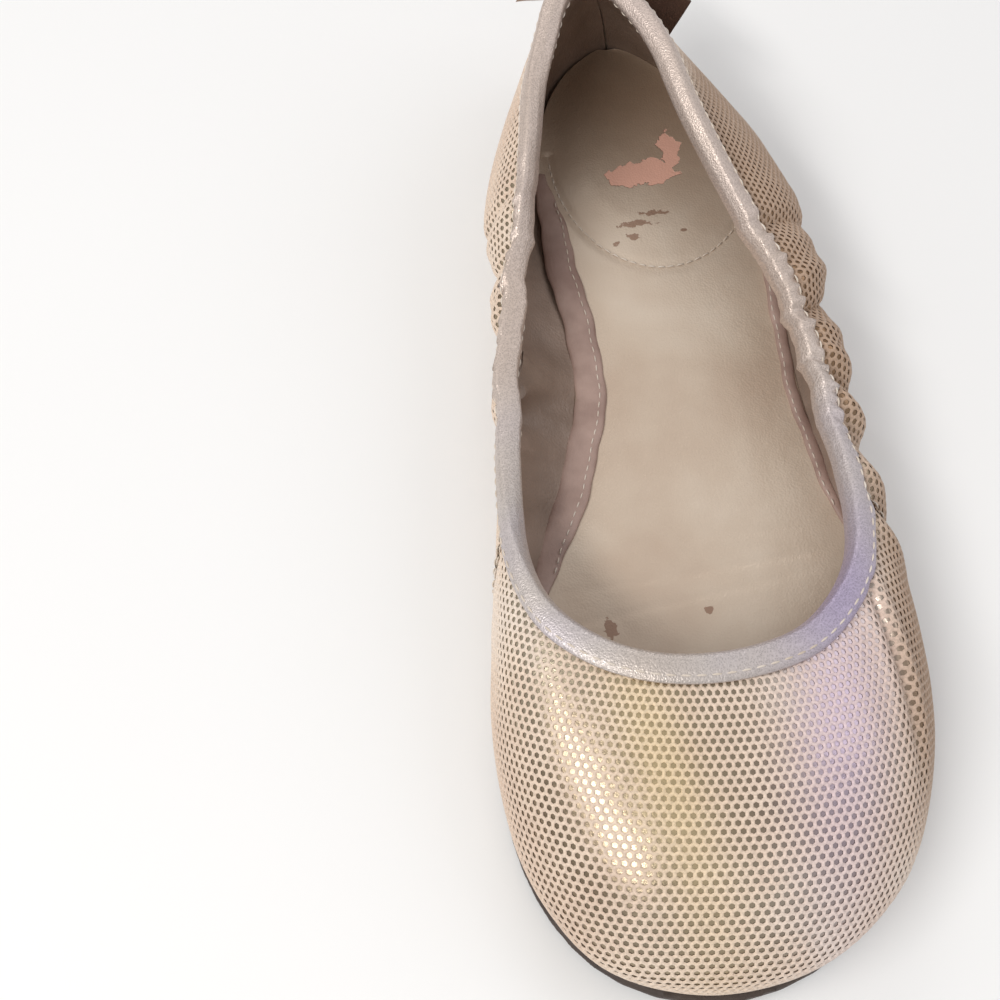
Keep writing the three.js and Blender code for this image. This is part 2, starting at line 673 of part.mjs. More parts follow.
function addUpper() {
  const seams = [
    ['vamp', '', MEDIAL_SEAM_COLUMN, LATERAL_SEAM_COLUMN],
    ['quarter', '_lateral', LATERAL_SEAM_COLUMN, HEEL_COLUMN],
    ['quarter', '_medial', HEEL_COLUMN, COLUMNS + MEDIAL_SEAM_COLUMN],
  ];
  for (const [part, side, from, to] of seams) {
    addPiece(`${part}${side}`, layer(from, to, 0, RAW_ROW, upperDepth), 0xc9a878, 0.35, 0.7);
    addPiece(`${part}_mesh${side}`, layer(from, to, 0, RAW_ROW, meshDepth), 0xe2d2b4, 0.8, 0);
    addPiece(`${part}_lining${side}`, layer(from, to, 0, RAW_ROW, liningDepth), 0x9a8272, 0.6, 0.1);
  }
  const puff = layer(-PUFF_COLUMNS, PUFF_COLUMNS, MARGIN_ROW, PUFF_TOP_ROW, stiffenerDepth);
  addPiece('toe_puff', puff, 0xd8cfc0, 0.8, 0);
  const counterFrom = HEEL_COLUMN - COUNTER_COLUMNS;
  const counterTo = HEEL_COLUMN + COUNTER_COLUMNS;
  const counter = layer(counterFrom, counterTo, MARGIN_ROW, COUNTER_TOP_ROW, stiffenerDepth);
  addPiece('heel_counter', counter, 0xcfc4b2, 0.8, 0);
  const stayFrom = HEEL_COLUMN - STAY_HALF_COLUMNS;
  const stayTo = HEEL_COLUMN + STAY_HALF_COLUMNS;
  const stay = layer(stayFrom, stayTo, WALL_ROW, LEG_ROW - 1, () => OUTER_LEG_DEPTH);
  addPiece('back_stay', stay, 0xc8bab0, 0.4, 0.5);
  addPiece('topline_binding', bindingGeometry(), 0xd2c4bd, 0.4, 0.6);
  addPiece('topline_elastic', elasticGeometry(), 0xf2ece4, 0.9, 0);
}

function addBow() {
  const bow = new THREE.Group();
  bow.position.copy(bowCentre());
  bow.rotation.y = THREE.MathUtils.degToRad(BOW_TILT);
  slipper.add(bow);
  addPiece('bow_loops', bowLoopsGeometry(), 0xb89c8c, 0.45, 0.4, bow);
  const knot = addPiece('bow_knot', bowKnotGeometry(), 0xb89c8c, 0.45, 0.4, bow);
  knot.geometry.computeBoundingBox();
  const knotFront = bow.position.y + knot.geometry.boundingBox.min.y - CONTACT_GAP;
  const face = heelFaceAt(BOW_HEIGHT);
  const start = face.y + CONTACT_GAP + THREAD_RADIUS;
  const length = knotFront - start;
  const stitch = new THREE.CylinderGeometry(THREAD_RADIUS, THREAD_RADIUS, length, 12);
  const thread = addPiece('bow_thread', stitch, 0xd9cbb8, 0.9, 0);
  thread.position.set(face.x, start + length / 2, BOW_HEIGHT);
}

addBottom();
addUpper();
addBow();

// The origin is under the middle of the bounding box.
slipper.updateMatrixWorld(true);
const middle = new THREE.Box3().setFromObject(slipper, true).getCenter(new THREE.Vector3());
slipper.position.set(-middle.x, -middle.y, 0);

export default slipper;
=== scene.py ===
"""An elasticated gold ballet slipper: net over metallic foil, silver bound topline, worn insole.

Lengths are in metres unless a name says mm. The upper's surface is read from the CAD net
nodes as a ring of columns round the foot and rows up the wall, and every visible layer is
that ring at its own depth, with the gathers of the elastic added.
"""
import json
import math

import bmesh
import bpy
import numpy as np
from mathutils import Matrix, Vector
from mathutils.bvhtree import BVHTree


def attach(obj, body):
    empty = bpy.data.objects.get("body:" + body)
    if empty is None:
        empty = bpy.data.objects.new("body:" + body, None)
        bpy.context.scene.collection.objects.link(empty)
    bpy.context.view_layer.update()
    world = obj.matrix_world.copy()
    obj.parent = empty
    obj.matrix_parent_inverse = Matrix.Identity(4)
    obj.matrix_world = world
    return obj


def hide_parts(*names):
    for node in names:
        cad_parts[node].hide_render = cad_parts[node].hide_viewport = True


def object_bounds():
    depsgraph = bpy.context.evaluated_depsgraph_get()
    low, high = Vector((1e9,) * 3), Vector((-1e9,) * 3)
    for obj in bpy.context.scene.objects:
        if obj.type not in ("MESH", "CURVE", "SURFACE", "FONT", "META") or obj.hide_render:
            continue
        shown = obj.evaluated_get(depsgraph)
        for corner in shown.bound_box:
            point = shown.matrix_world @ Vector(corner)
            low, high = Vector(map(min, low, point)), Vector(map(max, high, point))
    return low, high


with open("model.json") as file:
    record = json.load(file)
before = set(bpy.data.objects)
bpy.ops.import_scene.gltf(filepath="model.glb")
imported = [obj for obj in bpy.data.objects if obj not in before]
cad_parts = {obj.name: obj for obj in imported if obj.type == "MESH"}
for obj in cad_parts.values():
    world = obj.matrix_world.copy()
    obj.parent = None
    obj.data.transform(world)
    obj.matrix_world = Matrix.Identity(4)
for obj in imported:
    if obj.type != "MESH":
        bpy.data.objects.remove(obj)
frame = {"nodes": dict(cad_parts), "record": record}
CAD_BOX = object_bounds()
MM = 0.001
TAU = 2 * math.pi


# ---- camera, light and floor ----
LENS_MM = 43.5
EYE_ASIDE, EYE_AHEAD, EYE_ABOVE = 0.0433, 0.0087, 0.2045  # from the CAD box's middle, toe and top
VIEW_RIGHT = Vector((0.9983, -0.0554, -0.0177))
VIEW_UP = Vector((0.0577, 0.9046, 0.4222))
LIGHTS = (  # name, place, width and height, power in watts, colour
    ("key_light", (-0.62, -0.42, 0.9), (0.95, 0.2), 7.4, (1.0, 0.985, 0.96)),
    ("fill_light", (0.75, 0.1, 0.8), (0.7, 0.7), 1.6, (0.93, 0.94, 1.0)),
    ("heel_light", (-0.1, 0.9, 0.7), (0.5, 0.5), 1.8, (1.0, 0.98, 0.97)),
)
LIT_POINT = Vector((0, 0, 0.02))
FLOOR_HALF = 12.0


def add_object(name, data):
    made = bpy.data.objects.new(name, data)
    bpy.context.scene.collection.objects.link(made)
    return made


def add_camera():
    """The viewpoint stands over the toe and looks down along the slipper."""
    data = bpy.data.cameras.new("camera")
    camera = add_object("camera", data)
    data.sensor_width = 36.0
    data.lens = LENS_MM
    data.clip_start = 0.01
    back = VIEW_RIGHT.cross(VIEW_UP).normalized()
    right = VIEW_UP.cross(back).normalized()
    turn = Matrix((right, VIEW_UP, back)).transposed().to_4x4()
    low, high = CAD_BOX
    eye = ((low[0] + high[0]) / 2 - EYE_ASIDE, low[1] - EYE_AHEAD, high[2] + EYE_ABOVE)
    camera.matrix_world = Matrix.Translation(eye) @ turn
    bpy.context.scene.camera = camera


def add_area_light(name, place, size, power, colour):
    data = bpy.data.lights.new(name, "AREA")
    data.shape = "RECTANGLE"
    data.size, data.size_y = size
    data.energy = power
    data.color = colour
    lamp = add_object(name, data)
    lamp.location = place
    lamp.rotation_euler = (LIT_POINT - Vector(place)).to_track_quat("-Z", "Y").to_euler()


def add_studio():
    """A pale seamless floor under broad, soft light from the left and the toe end."""
    half = FLOOR_HALF
    mesh = bpy.data.meshes.new("studio_floor")
    corners = [(-half, -half, 0), (half, -half, 0), (half, half, 0), (-half, half, 0)]
    mesh.from_pydata(corners, [], [(0, 1, 2, 3)])
    floor = add_object("studio_floor", mesh)
    floor.data.materials.append(floor_material())
    for light in LIGHTS:
        add_area_light(*light)
    world = bpy.data.worlds.new("studio_world")
    bpy.context.scene.world = world
    world.use_nodes = True
    sky = world.node_tree.nodes["Background"]
    sky.inputs["Color"].default_value = (1.0, 0.99, 0.98, 1)
    sky.inputs["Strength"].default_value = 0.5
    bpy.context.scene.view_settings.view_transform = "Standard"


# ---- materials ----
class Shader:
    """A material with a Principled shader and short calls for the nodes that feed it."""

    def __init__(self, name, **sockets):
        self.material = bpy.data.materials.new(name)
        self.material.use_nodes = True
        self.tree = self.material.node_tree
        self.surface = self.tree.nodes["Principled BSDF"]
        for socket, value in sockets.items():
            self.surface.inputs[socket.replace("_", " ")].default_value = value
        self.place = self.tree.nodes.new("ShaderNodeTexCoord").outputs["Object"]

    def node(self, kind, inputs=None, **settings):
        made = self.tree.nodes.new(kind)
        for key, value in settings.items():
            setattr(made, key, value)
        for key, value in (inputs or {}).items():
            if isinstance(value, bpy.types.NodeSocket):
                self.tree.links.new(value, made.inputs[key])
            else:
                made.inputs[key].default_value = value
        return made

    def noise(self, size_mm, detail=3.0):
        inputs = {"Vector": self.place, "Scale": 1 / (size_mm * MM), "Detail": detail}
        inputs["Roughness"] = 0.55
        return self.node("ShaderNodeTexNoise", inputs).outputs["Fac"]

    def cells(self, size_mm):
        inputs = {"Vector": self.place, "Scale": 1 / (size_mm * MM)}
        return self.node("ShaderNodeTexVoronoi", inputs).outputs["Distance"]

    def ramp(self, value, stops):
        ramp = self.node("ShaderNodeValToRGB", {"Fac": value})
        elements = ramp.color_ramp.elements
        while len(elements) < len(stops):
            elements.new(0.5)
        for element, (position, colour) in zip(elements, stops):
            element.position = position
            element.color = (*(colour if isinstance(colour, tuple) else (colour,) * 3), 1)
        return ramp.outputs["Color"]

    def remap(self, value, low, high, to_low, to_high):
        inputs = {"Value": value, "From Min": low, "From Max": high}
        inputs.update({"To Min": to_low, "To Max": to_high})
        return self.node("ShaderNodeMapRange", inputs).outputs["Result"]

    def math(self, operation, first, second):
        made = self.node("ShaderNodeMath", {0: first, 1: second}, operation=operation)
        return made.outputs["Value"]

    def scaled(self, colour, factor):
        made = self.node("ShaderNodeVectorMath", {0: colour, 1: factor}, operation="MULTIPLY")
        return made.outputs[0]

    def mix(self, factor, first, second):
        made = self.node("ShaderNodeMix", {"Factor": factor}, data_type="RGBA")
        for index, value in ((6, first), (7, second)):
            if isinstance(value, bpy.types.NodeSocket):
                self.tree.links.new(value, made.inputs[index])
            else:
                made.inputs[index].default_value = (*value, 1)
        return made.outputs[2]

    def attribute(self, name):
        return self.node("ShaderNodeAttribute", attribute_name=name).outputs["Fac"]

    def tinted(self, colour, **tints):
        """The colour, mixed towards each tint where its attribute says so."""
        for name, tint in tints.items():
            colour = self.mix(self.attribute(name), colour, tint)
        return colour

    def patchy(self, size_mm, low, high):
        return self.remap(self.noise(size_mm), 0.3, 0.7, low, high)

    def feed(self, socket, value):
        self.tree.links.new(value, self.surface.inputs[socket])

    def bump(self, *layers):
        """layers are (height, depth in mm), laid over each other."""
        normal = None
        for height, depth_mm in layers:
            inputs = {"Height": height, "Distance": depth_mm * MM, "Strength": 1.0}
            if normal is not None:
                inputs["Normal"] = normal
            normal = self.node("ShaderNodeBump", inputs).outputs["Normal"]
        self.feed("Normal", normal)


def floor_material():
    shader = Shader("studio_floor", Roughness=0.6)
    shader.feed("Base Color", shader.ramp(shader.noise(400), [(0.3, 0.9), (0.7, 0.92)]))
    return shader.material


def foil_material():
    """Metallic foil whose tint drifts between browns and creams, with painted gold and lavender
    reflections on the toe and painted copper shade down the outer side and round the heel.
    """
    shader = Shader("foil", Metallic=0.85, Roughness=0.3)
    drift = shader.noise(45, 2.0)
    stops = [(0.35, (0.29, 0.22, 0.15)), (0.5, (0.39, 0.32, 0.23)), (0.65, (0.5, 0.44, 0.34))]
    # gold and lavender are painted reflections on the toe; copper is painted shade down the outer
    # side and round the heel
    zones = {"gold": (0.78, 0.62, 0.36), "lavender": (0.56, 0.46, 0.58),
             "copper": (0.29, 0.17, 0.095)}
    shader.feed("Base Color", shader.tinted(shader.ramp(drift, stops), **zones))
    shader.feed("Roughness", shader.patchy(1.2, 0.2, 0.34))
    shader.bump((shader.noise(0.9), 0.06))
    return shader.material


def net_material():
    """Cotton net in the foil's own tints, but paler and matt."""
    shader = Shader("net", Roughness=0.75, Sheen_Weight=0.2)
    stops = [(0.35, (0.74, 0.57, 0.45)), (0.55, (0.82, 0.66, 0.53)), (0.7, (0.86, 0.73, 0.62))]
    # the net takes the same painted reflections (gold, lavender) and painted shade (copper) as the
    # foil
    zones = {"gold": (0.84, 0.66, 0.4), "lavender": (0.76, 0.6, 0.66),
             "copper": (0.44, 0.29, 0.195)}
    tone = shader.tinted(shader.ramp(shader.noise(30), stops), **zones)
    speck = shader.remap(shader.noise(0.5), 0.35, 0.65, 0.8, 1.05)
    shader.feed("Base Color", shader.scaled(tone, speck))
    shader.bump((shader.noise(0.25), 0.05))
    return shader.material


def binding_material():
    """Fine-grained metallic tape: silver, lavender at the outer throat, cream at the heel."""
    shader = Shader("binding", Metallic=0.55, Roughness=0.42)
    stops = [(0.3, (0.58, 0.5, 0.44)), (0.5, (0.62, 0.56, 0.53)), (0.7, (0.57, 0.52, 0.56))]
    zones = {"lavender": (0.45, 0.38, 0.54), "cream": (0.66, 0.54, 0.47)}
    tone = shader.tinted(shader.ramp(shader.noise(38, 2), stops), **zones)
    grain = shader.cells(0.4)
    # painted glints: the tape's colour brightens and darkens grain by grain
    painted_glints = shader.ramp(grain, [(0.1, 0.72), (0.6, 1.0)])
    shader.feed("Base Color", shader.scaled(tone, painted_glints))
    shader.feed("Roughness", shader.patchy(0.6, 0.34, 0.58))
    shader.bump((grain, 0.08), (shader.noise(3.0), 0.15))
    return shader.material


def lining_material():
    """Brown lining leather with a faint metallic gloss."""
    shader = Shader("lining", Roughness=0.42, Metallic=0.15)
    stops = [(0.3, (0.24, 0.17, 0.13)), (0.55, (0.33, 0.24, 0.19)), (0.75, (0.4, 0.3, 0.25))]
    shader.feed("Base Color", shader.ramp(shader.noise(25), stops))
    shader.feed("Roughness", shader.patchy(2, 0.35, 0.55))
    shader.bump((shader.cells(0.6), 0.06), (shader.noise(6), 0.25))
    return shader.material


def sock_material():
    """Worn metallic film: coral where it has peeled, brown where it is scuffed."""
    shader = Shader("sock", Roughness=0.45, Metallic=0.25)
    stops = [(0.3, (0.56, 0.43, 0.33)), (0.55, (0.65, 0.53, 0.42)), (0.75, (0.72, 0.61, 0.5))]
    # darker at the heel's seat, with painted shade along the rim of the forefoot by the walls
    base = shader.tinted(shader.ramp(shader.noise(35), stops), soil=(0.3, 0.2, 0.13))
    ragged = shader.remap(shader.noise(4, 5), 0.2, 0.8, -0.35, 0.35)
    peel = shader.math("ADD", shader.attribute("peel"), ragged)
    peeled = shader.remap(peel, 0.5, 0.53, 0, 1)
    broken = shader.remap(shader.noise(1.6, 5), 0.2, 0.8, -0.5, 0.5)
    scuff = shader.math("ADD", shader.attribute("scuff"), broken)
    scuffed = shader.remap(scuff, 0.52, 0.6, 0, 1)
    colour = shader.mix(shader.math("MULTIPLY", scuffed, 0.75), base, (0.26, 0.13, 0.08))
    colour = shader.mix(peeled, colour, (0.84, 0.5, 0.39))
    shader.feed("Base Color", colour)
    shader.feed("Roughness", shader.remap(peeled, 0, 1, 0.42, 0.85))
    sunk = shader.math("MULTIPLY", peeled, -1.0)
    shader.bump((shader.cells(0.5), 0.05), (sunk, 0.2), (shader.noise(9), 0.3))
    return shader.material


def bow_material():
    """Metallic leather: pinkish tan, with painted shade in dark brown over its outer end."""
    shader = Shader("bow", Metallic=0.4, Roughness=0.38)
    tan = shader.ramp(shader.noise(10), [(0.3, (0.44, 0.31, 0.25)), (0.7, (0.6, 0.46, 0.39))])
    # painted shade: the bow's outer end turns dark brown
    shader.feed("Base Color", shader.tinted(tan, dark=(0.07, 0.035, 0.025)))
    shader.feed("Roughness", shader.patchy(2, 0.3, 0.48))
    shader.bump((shader.cells(0.5), 0.06), (shader.noise(4), 0.2))
    return shader.material


def plain_material(name, dark, light, roughness, grain_mm, **sockets):
    """A matt stuff that drifts between two colours, with a grain of its own size."""
    shader = Shader(name, Roughness=roughness, **sockets)
    shader.feed("Base Color", shader.ramp(shader.noise(12), [(0.3, dark), (0.7, light)]))
    shader.feed("Roughness", shader.patchy(3, roughness - 0.08, roughness + 0.08))
    shader.bump((shader.noise(grain_mm), 0.1))
    return shader.material


PLAIN = {  # dark and light colour, roughness, grain in mm
    "rubber": ((0.045, 0.03, 0.025), (0.075, 0.055, 0.045), 0.6, 0.7),
    "fibre": ((0.5, 0.42, 0.3), (0.62, 0.54, 0.42), 0.9, 0.5),
    "foam": ((0.7, 0.3, 0.22), (0.8, 0.42, 0.32), 0.9, 0.4),
    "welt": ((0.28, 0.18, 0.15), (0.48, 0.34, 0.29), 0.5, 0.7),
    "elastic": ((0.7, 0.66, 0.6), (0.85, 0.82, 0.78), 0.85, 0.3),
}
THREAD = ((0.62, 0.52, 0.42), (0.8, 0.72, 0.64), 0.7, 0.2)
MATERIALS = {name: plain_material(name, *looks) for name, looks in PLAIN.items()}
MATERIALS["thread"] = plain_material("thread", *THREAD, Sheen_Weight=0.3)
MATERIALS.update({
    "foil": foil_material(),
    "net": net_material(),
    "binding": binding_material(),
    "lining": lining_material(),
    "sock": sock_material(),
    "bow": bow_material(),
})


# ---- meshes and pieces ----
UP = [0.0, 0.0, 1.0]


def add_piece(name, vertices, faces, material, replaces=(), body="slipper"):
    """A smooth-shaded piece that rides on a body and stands for the CAD nodes it replaces."""
    mesh = bpy.data.meshes.new(name)
    mesh.from_pydata([tuple(v) for v in np.asarray(vertices).reshape(-1, 3)], [], faces)
    mesh.validate()
    piece = add_object(name, mesh)
    mesh.materials.append(MATERIALS[material])
    mesh.shade_smooth()
    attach(piece, body)
    if replaces:
        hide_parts(*replaces)
    return piece


def vertex_values(mesh, kind):
    values = np.zeros(len(mesh.vertices) * 3)
    mesh.vertices.foreach_get(kind, values)
    return values.reshape(-1, 3)


def mark(piece, name, field):
    """Stores how much of something there is at each vertex, for the material."""
    points = vertex_values(piece.data, "co")
    layer = piece.data.attributes.new(name, "FLOAT", "POINT")
    layer.data.foreach_set("value", field(points[:, 0], points[:, 1]).astype(np.float32))


def mark_all(piece, fields):
    for name, field in fields.items():
        mark(piece, name, field)


def grid_faces(across, along, first=0, flip=False):
    """Quads of a grid whose vertices run row by row."""
    faces = []
    for i in range(along - 1):
        here = first + i * across
        there = here + across
        for j in range(across - 1):
            quad = (here + j, here + j + 1, there + j + 1, there + j)
            faces.append(quad[::-1] if flip else quad)
    return faces


def hoop_faces(sections, around):
    """Quads of a band that closes on itself both along its run and around its section."""
    faces = []
    for i in range(sections):
        here, there = i * around, (i + 1) % sections * around
        for j in range(around):
            k = (j + 1) % around
            faces.append((here + j, there + j, there + k, here + k))
    return faces


def rod_faces(stations, sides, first=0):
    """Quads of a rod of rings, with a cap at both ends."""
    faces = []
    for i in range(stations - 1):
        here = first + i * sides
        there = here + sides
        for k in range(sides):
            n = (k + 1) % sides
            faces.append((here + k, here + n, there + n, there + k))
    last = first + (stations - 1) * sides
    faces.append(tuple(first + k for k in reversed(range(sides))))
    faces.append(tuple(last + k for k in range(sides)))
    return faces


def shell(outer, inner):
    """A closed sheet between two grids of points of the same shape (along, across, 3)."""
    along, across = outer.shape[:2]
    count = along * across
    vertices = np.concatenate([outer.reshape(-1, 3), inner.reshape(-1, 3)])
    faces = grid_faces(across, along) + grid_faces(across, along, count, flip=True)

    def rim(a, b, turned):
        quad = (a, b, b + count, a + count)
        faces.append(quad[::-1] if turned else quad)

    for i in range(along - 1):
        for j, turned in ((0, False), (across - 1, True)):
            rim(i * across + j, (i + 1) * across + j, turned)
    for j in range(across - 1):
        for i, turned in ((0, True), (along - 1, False)):
            rim(i * across + j, i * across + j + 1, turned)
    return vertices, faces


def catmull_weights(share):
    """Weights of the four points round a share of the way between the middle two."""
    s = np.asarray(share)
    return np.stack([
        -0.5 * s + s ** 2 - 0.5 * s ** 3,
        1 - 2.5 * s ** 2 + 1.5 * s ** 3,
        0.5 * s + 2 * s ** 2 - 1.5 * s ** 3,
        -0.5 * s ** 2 + 0.5 * s ** 3,
    ])


# ---- the upper's surface, read from the CAD nets ----
NET_ROWS = 11  # of the CAD nets, from the margin's inner edge to the raw edge
NET_THICKNESS = 0.7 * MM  # of the CAD nets
FOLD_DROP = 3.6 * MM  # from the topline's fold down to the raw edge of the net


def welded(node):
    """A CAD node's mesh with its doubled vertices merged, to be freed by the caller."""
    source = bmesh.new()
    source.from_mesh(frame["nodes"][node].data)
    bmesh.ops.remove_doubles(source, verts=source.verts, dist=2e-6)
    return source


def outer_sheet(node):
    """The points and triangles of a thin shell's larger side, which is its outer one."""
    source = welded(node)
    rim_faces = []
    for face in source.faces:
        misfit = min(abs(edge.calc_length() - NET_THICKNESS) for edge in face.edges)
        if misfit < 0.012 * MM:
            rim_faces.append(face)
    bmesh.ops.delete(source, geom=rim_faces, context="FACES")
    left = set(source.faces)
    sheets = []
    while left:
        grow = [left.pop()]
        sheet = list(grow)
        while grow:
            face = grow.pop()
            for edge in face.edges:
                for other in edge.link_faces:
                    if other in left:
                        left.discard(other)
                        sheet.append(other)
                        grow.append(other)
        sheets.append(sheet)
    index = {}
    triangles = []
    for face in max(sheets, key=lambda faces: sum(f.calc_area() for f in faces)):
        triangles.append([index.setdefault(v, len(index)) for v in face.verts])
    points = np.array([v.co for v in index])
    source.free()
    return points, triangles


def sheet_grid(node):
    """The outer side of a net node as an array of points, columns by rows."""
    points, triangles = outer_sheet(node)
    neighbours = {i: set() for i in range(len(points))}
    border = {i: set() for i in range(len(points))}
    edge_use = {}
    for triangle in triangles:
        for k in range(3):
            a, b = triangle[k], triangle[(k + 1) % 3]
            neighbours[a].add(b)
            neighbours[b].add(a)
            edge_use[frozenset((a, b))] = edge_use.get(frozenset((a, b)), 0) + 1
    for edge, use in edge_use.items():
        if use == 1:
            a, b = tuple(edge)
            border[a].add(b)
            border[b].add(a)
    cycle = [next(i for i in border if border[i])]
    while len(cycle) < 2 or cycle[-1] != cycle[0]:
        onward = [n for n in border[cycle[-1]] if len(cycle) < 2 or n != cycle[-2]]
        cycle.append(sorted(onward)[0])
    cycle = cycle[:-1]
    # The four corners are where the border turns most sharply.
    length = len(cycle)
    climb = NET_ROWS - 1
    run = length // 2 - climb
    ring = points[cycle]
    back = np.roll(ring, 1, axis=0) - ring
    ahead = np.roll(ring, -1, axis=0) - ring
    sharp = (back * ahead).sum(axis=1) / np.linalg.norm(back, axis=1)
    sharp = sharp / np.linalg.norm(ahead, axis=1)
    corners = np.array([0, run, run + climb, 2 * run + climb])
    start = max(range(length), key=lambda k: sharp[(corners + k) % length].sum())
    cycle = cycle[start:] + cycle[:start]
    one, other = cycle[:run + 1], cycle[run + climb:2 * run + climb + 1]
    if points[one][:, 2].mean() > points[other][:, 2].mean():
        cycle = cycle[run + climb:] + cycle[:run + climb]
    # The rows are then walked one by one, from the lowest up.
    row = cycle[:run + 1]
    used = set()
    ordered = []
    while row:
        ordered.append(row)
        used.update(row)
        ahead = set().union(*(neighbours[i] for i in row)) - used
        if not ahead:
            break
        row = [next(n for n in border[row[0]] if n in ahead)]
        while True:
            step = [n for n in neighbours[row[-1]] if n in ahead and n not in row]
            if not step:
                break
            row.append(step[0])
    return np.array([points[row] for row in ordered]).transpose(1, 0, 2)


def counterclockwise(grid):
    """The grid with its columns in the order that runs counterclockwise from above."""
    edge = grid[:, 0]
    centre_y = edge[:, 1].mean() if np.ptp(edge[:, 0]) > 0.06 else 0.02
    angle = np.unwrap(np.arctan2(edge[:, 1] - centre_y, edge[:, 0]))
    return grid if angle[-1] > angle[0] else grid[::-1]


class Upper:
    """The outside of the upper as a smooth function of column and row."""

    def __init__(self):
        nets = ("vamp_mesh", "quarter_mesh_lateral", "quarter_mesh_medial")
        pieces = [counterclockwise(sheet_grid(node)) for node in nets]
        columns = []
        self.seams = []
        for piece, following in zip(pieces, pieces[1:] + pieces[:1]):
            columns.extend(piece[1:-1])
            self.seams.append(len(columns))
            columns.append((piece[-1] + following[0]) / 2)
        grid = np.array(columns)
        climb = grid[:, -1] - grid[:, -2]
        climb /= np.linalg.norm(climb, axis=1, keepdims=True)
        fold = grid[:, -1] + climb * FOLD_DROP
        self.grid = np.concatenate([grid, fold[:, None]], axis=1)
        self.columns = len(grid)
        self.fold_row = self.grid.shape[1] - 1
        self.raw_row = self.fold_row - 1
        self.leg_row = self.fold_row - 2
        leg = self.grid[:, self.raw_row] - self.grid[:, self.leg_row]
        self.leg_drop = FOLD_DROP + np.linalg.norm(leg, axis=1).mean()
        self.toe = int(np.argmin(self.grid[:, 3, 1]))
        self.heel = self.seams[1]

    def point(self, column, row):
        """A point of the smooth surface through the grid, before any gathers."""
        column, row = np.broadcast_arrays(np.asarray(column, float), np.asarray(row, float))
        c0 = np.floor(column).astype(int)
        r0 = np.clip(np.floor(row).astype(int), 0, self.fold_row - 1)
        wc = catmull_weights(column - c0)
        wr = catmull_weights(row - r0)
        total = np.zeros(column.shape + (3,))
        for i in range(4):
            for j in range(4):
                rows = np.clip(r0 + j - 1, 0, self.fold_row)
                total += (wc[i] * wr[j])[..., None] * self.grid[(c0 + i - 1) % self.columns, rows]
        return total

    def frame_at(self, column, row):
        """Points and outward normals."""
        step = 0.05
        column, row = np.asarray(column), np.asarray(row)
        here = self.point(column, row)
        around = self.point(column + step, row) - self.point(column - step, row)
        low = np.clip(row - step, 0, self.fold_row)
        high = np.clip(row + step, 0, self.fold_row)
        climb = self.point(column, high) - self.point(column, low)
        normal = np.cross(around, climb)
        normal /= np.linalg.norm(normal, axis=-1, keepdims=True)
        return here, normal

    def row_at_drop(self, drop):
        """The row at a distance below the fold, given as metres along the wall."""
        drop = np.asarray(drop, float)
        return np.where(drop < FOLD_DROP, self.fold_row - drop / FOLD_DROP,
                        self.raw_row - (drop - FOLD_DROP) / (self.leg_drop - FOLD_DROP))


upper = Upper()


# Columns round the foot, counted from the toe: the elastic's two gathered stretches.
LATERAL_GATHERS = (17.5, 26.5)
MEDIAL_GATHERS = (47.0, 54.5)
GATHER_MM = 2.4
# Single folds: middle and width in columns, height outwards in mm.
SEAM_FOLDS = ((15.1, 0.5, 1.0), (16.0, 0.42, -1.4), (17.1, 0.6, 1.0))
PLEAT_FOLDS = ((-0.9, 0.5, 0.5), (0.0, 0.34, -1.2), (0.75, 0.5, 1.1))
PLEAT_COLUMN, PLEAT_SLANT = 11.0, 0.75
HEEL_LEAN_MM, HEEL_LEAN_COLUMN = 2.6, 41.0


def bell(value, centre, width):
    return np.exp(-((value - centre) / width) ** 2)


def smoothstep(low, high, value):
    t = np.clip((value - low) / (high - low), 0, 1)
    return t * t * (3 - 2 * t)


def between(value, low, high, soft):
    rise = smoothstep(low - soft, low + soft, value)
    return rise * (1 - smoothstep(high - soft, high + soft, value))


def folds(value, spec):
    return sum(height * bell(value, middle, width) for middle, width, height in spec)


def from_toe(column):
    return np.mod(np.asarray(column, float) - upper.toe, upper.columns)


def gather_strength(column):
    """How hard the elastic gathers the wall, from 0 at the throat to 1 along the sides."""
    column = from_toe(column)
    return between(column, *LATERAL_GATHERS, 2.0) + 0.8 * between(column, *MEDIAL_GATHERS, 2.0)


def fold_wave(column):
    """Irregular gathers: rounded swells between sharper valleys, from -1 to 1."""
    column = np.asarray(column, float)
    phase = column * 1.22 + 0.55 * np.sin(column * 0.71 + 1.0) + 0.25 * np.sin(column * 1.9)
    swell = np.abs(np.sin(phase)) ** 0.7
    fine = 0.16 * np.sin(column * 6.3 + 2 * np.sin(column * 0.9))
    return 2 * swell - 1.15 + fine


def gather(column, row):
    """How far the gathers push the wall outwards, in metres."""
    below = smoothstep(2.4, 8.4, row)
    ripple = fold_wave(column + 0.16 * (row - 9) * np.sin(column * 0.9))
    held = 1 - 0.6 * smoothstep(8.6, 9.8, row)
    around = from_toe(column)
    seam = folds(around, SEAM_FOLDS) * smoothstep(3.0, 7.5, row)
    seam = seam * (1 - smoothstep(8.6, 9.6, row))
    beside = around - PLEAT_COLUMN + PLEAT_SLANT * (8.8 - row)
    pleat = folds(beside, PLEAT_FOLDS) * smoothstep(3.6, 7.0, row)
    pleat = seam + pleat * (1 - smoothstep(8.5, 9.3, row))
    lean = -HEEL_LEAN_MM * bell(around, HEEL_LEAN_COLUMN, 3.2) * smoothstep(6.0, 10.0, row)
    return (gather_strength(column) * below * held * ripple * GATHER_MM + pleat + lean) * MM


def wall(column, row, depth):
    """Points of the upper at a depth inside its outer face, gathers included."""
    here, normal = upper.frame_at(column, row)
    push = gather(column, row) - depth
    return here + normal * np.asarray(push)[..., None]


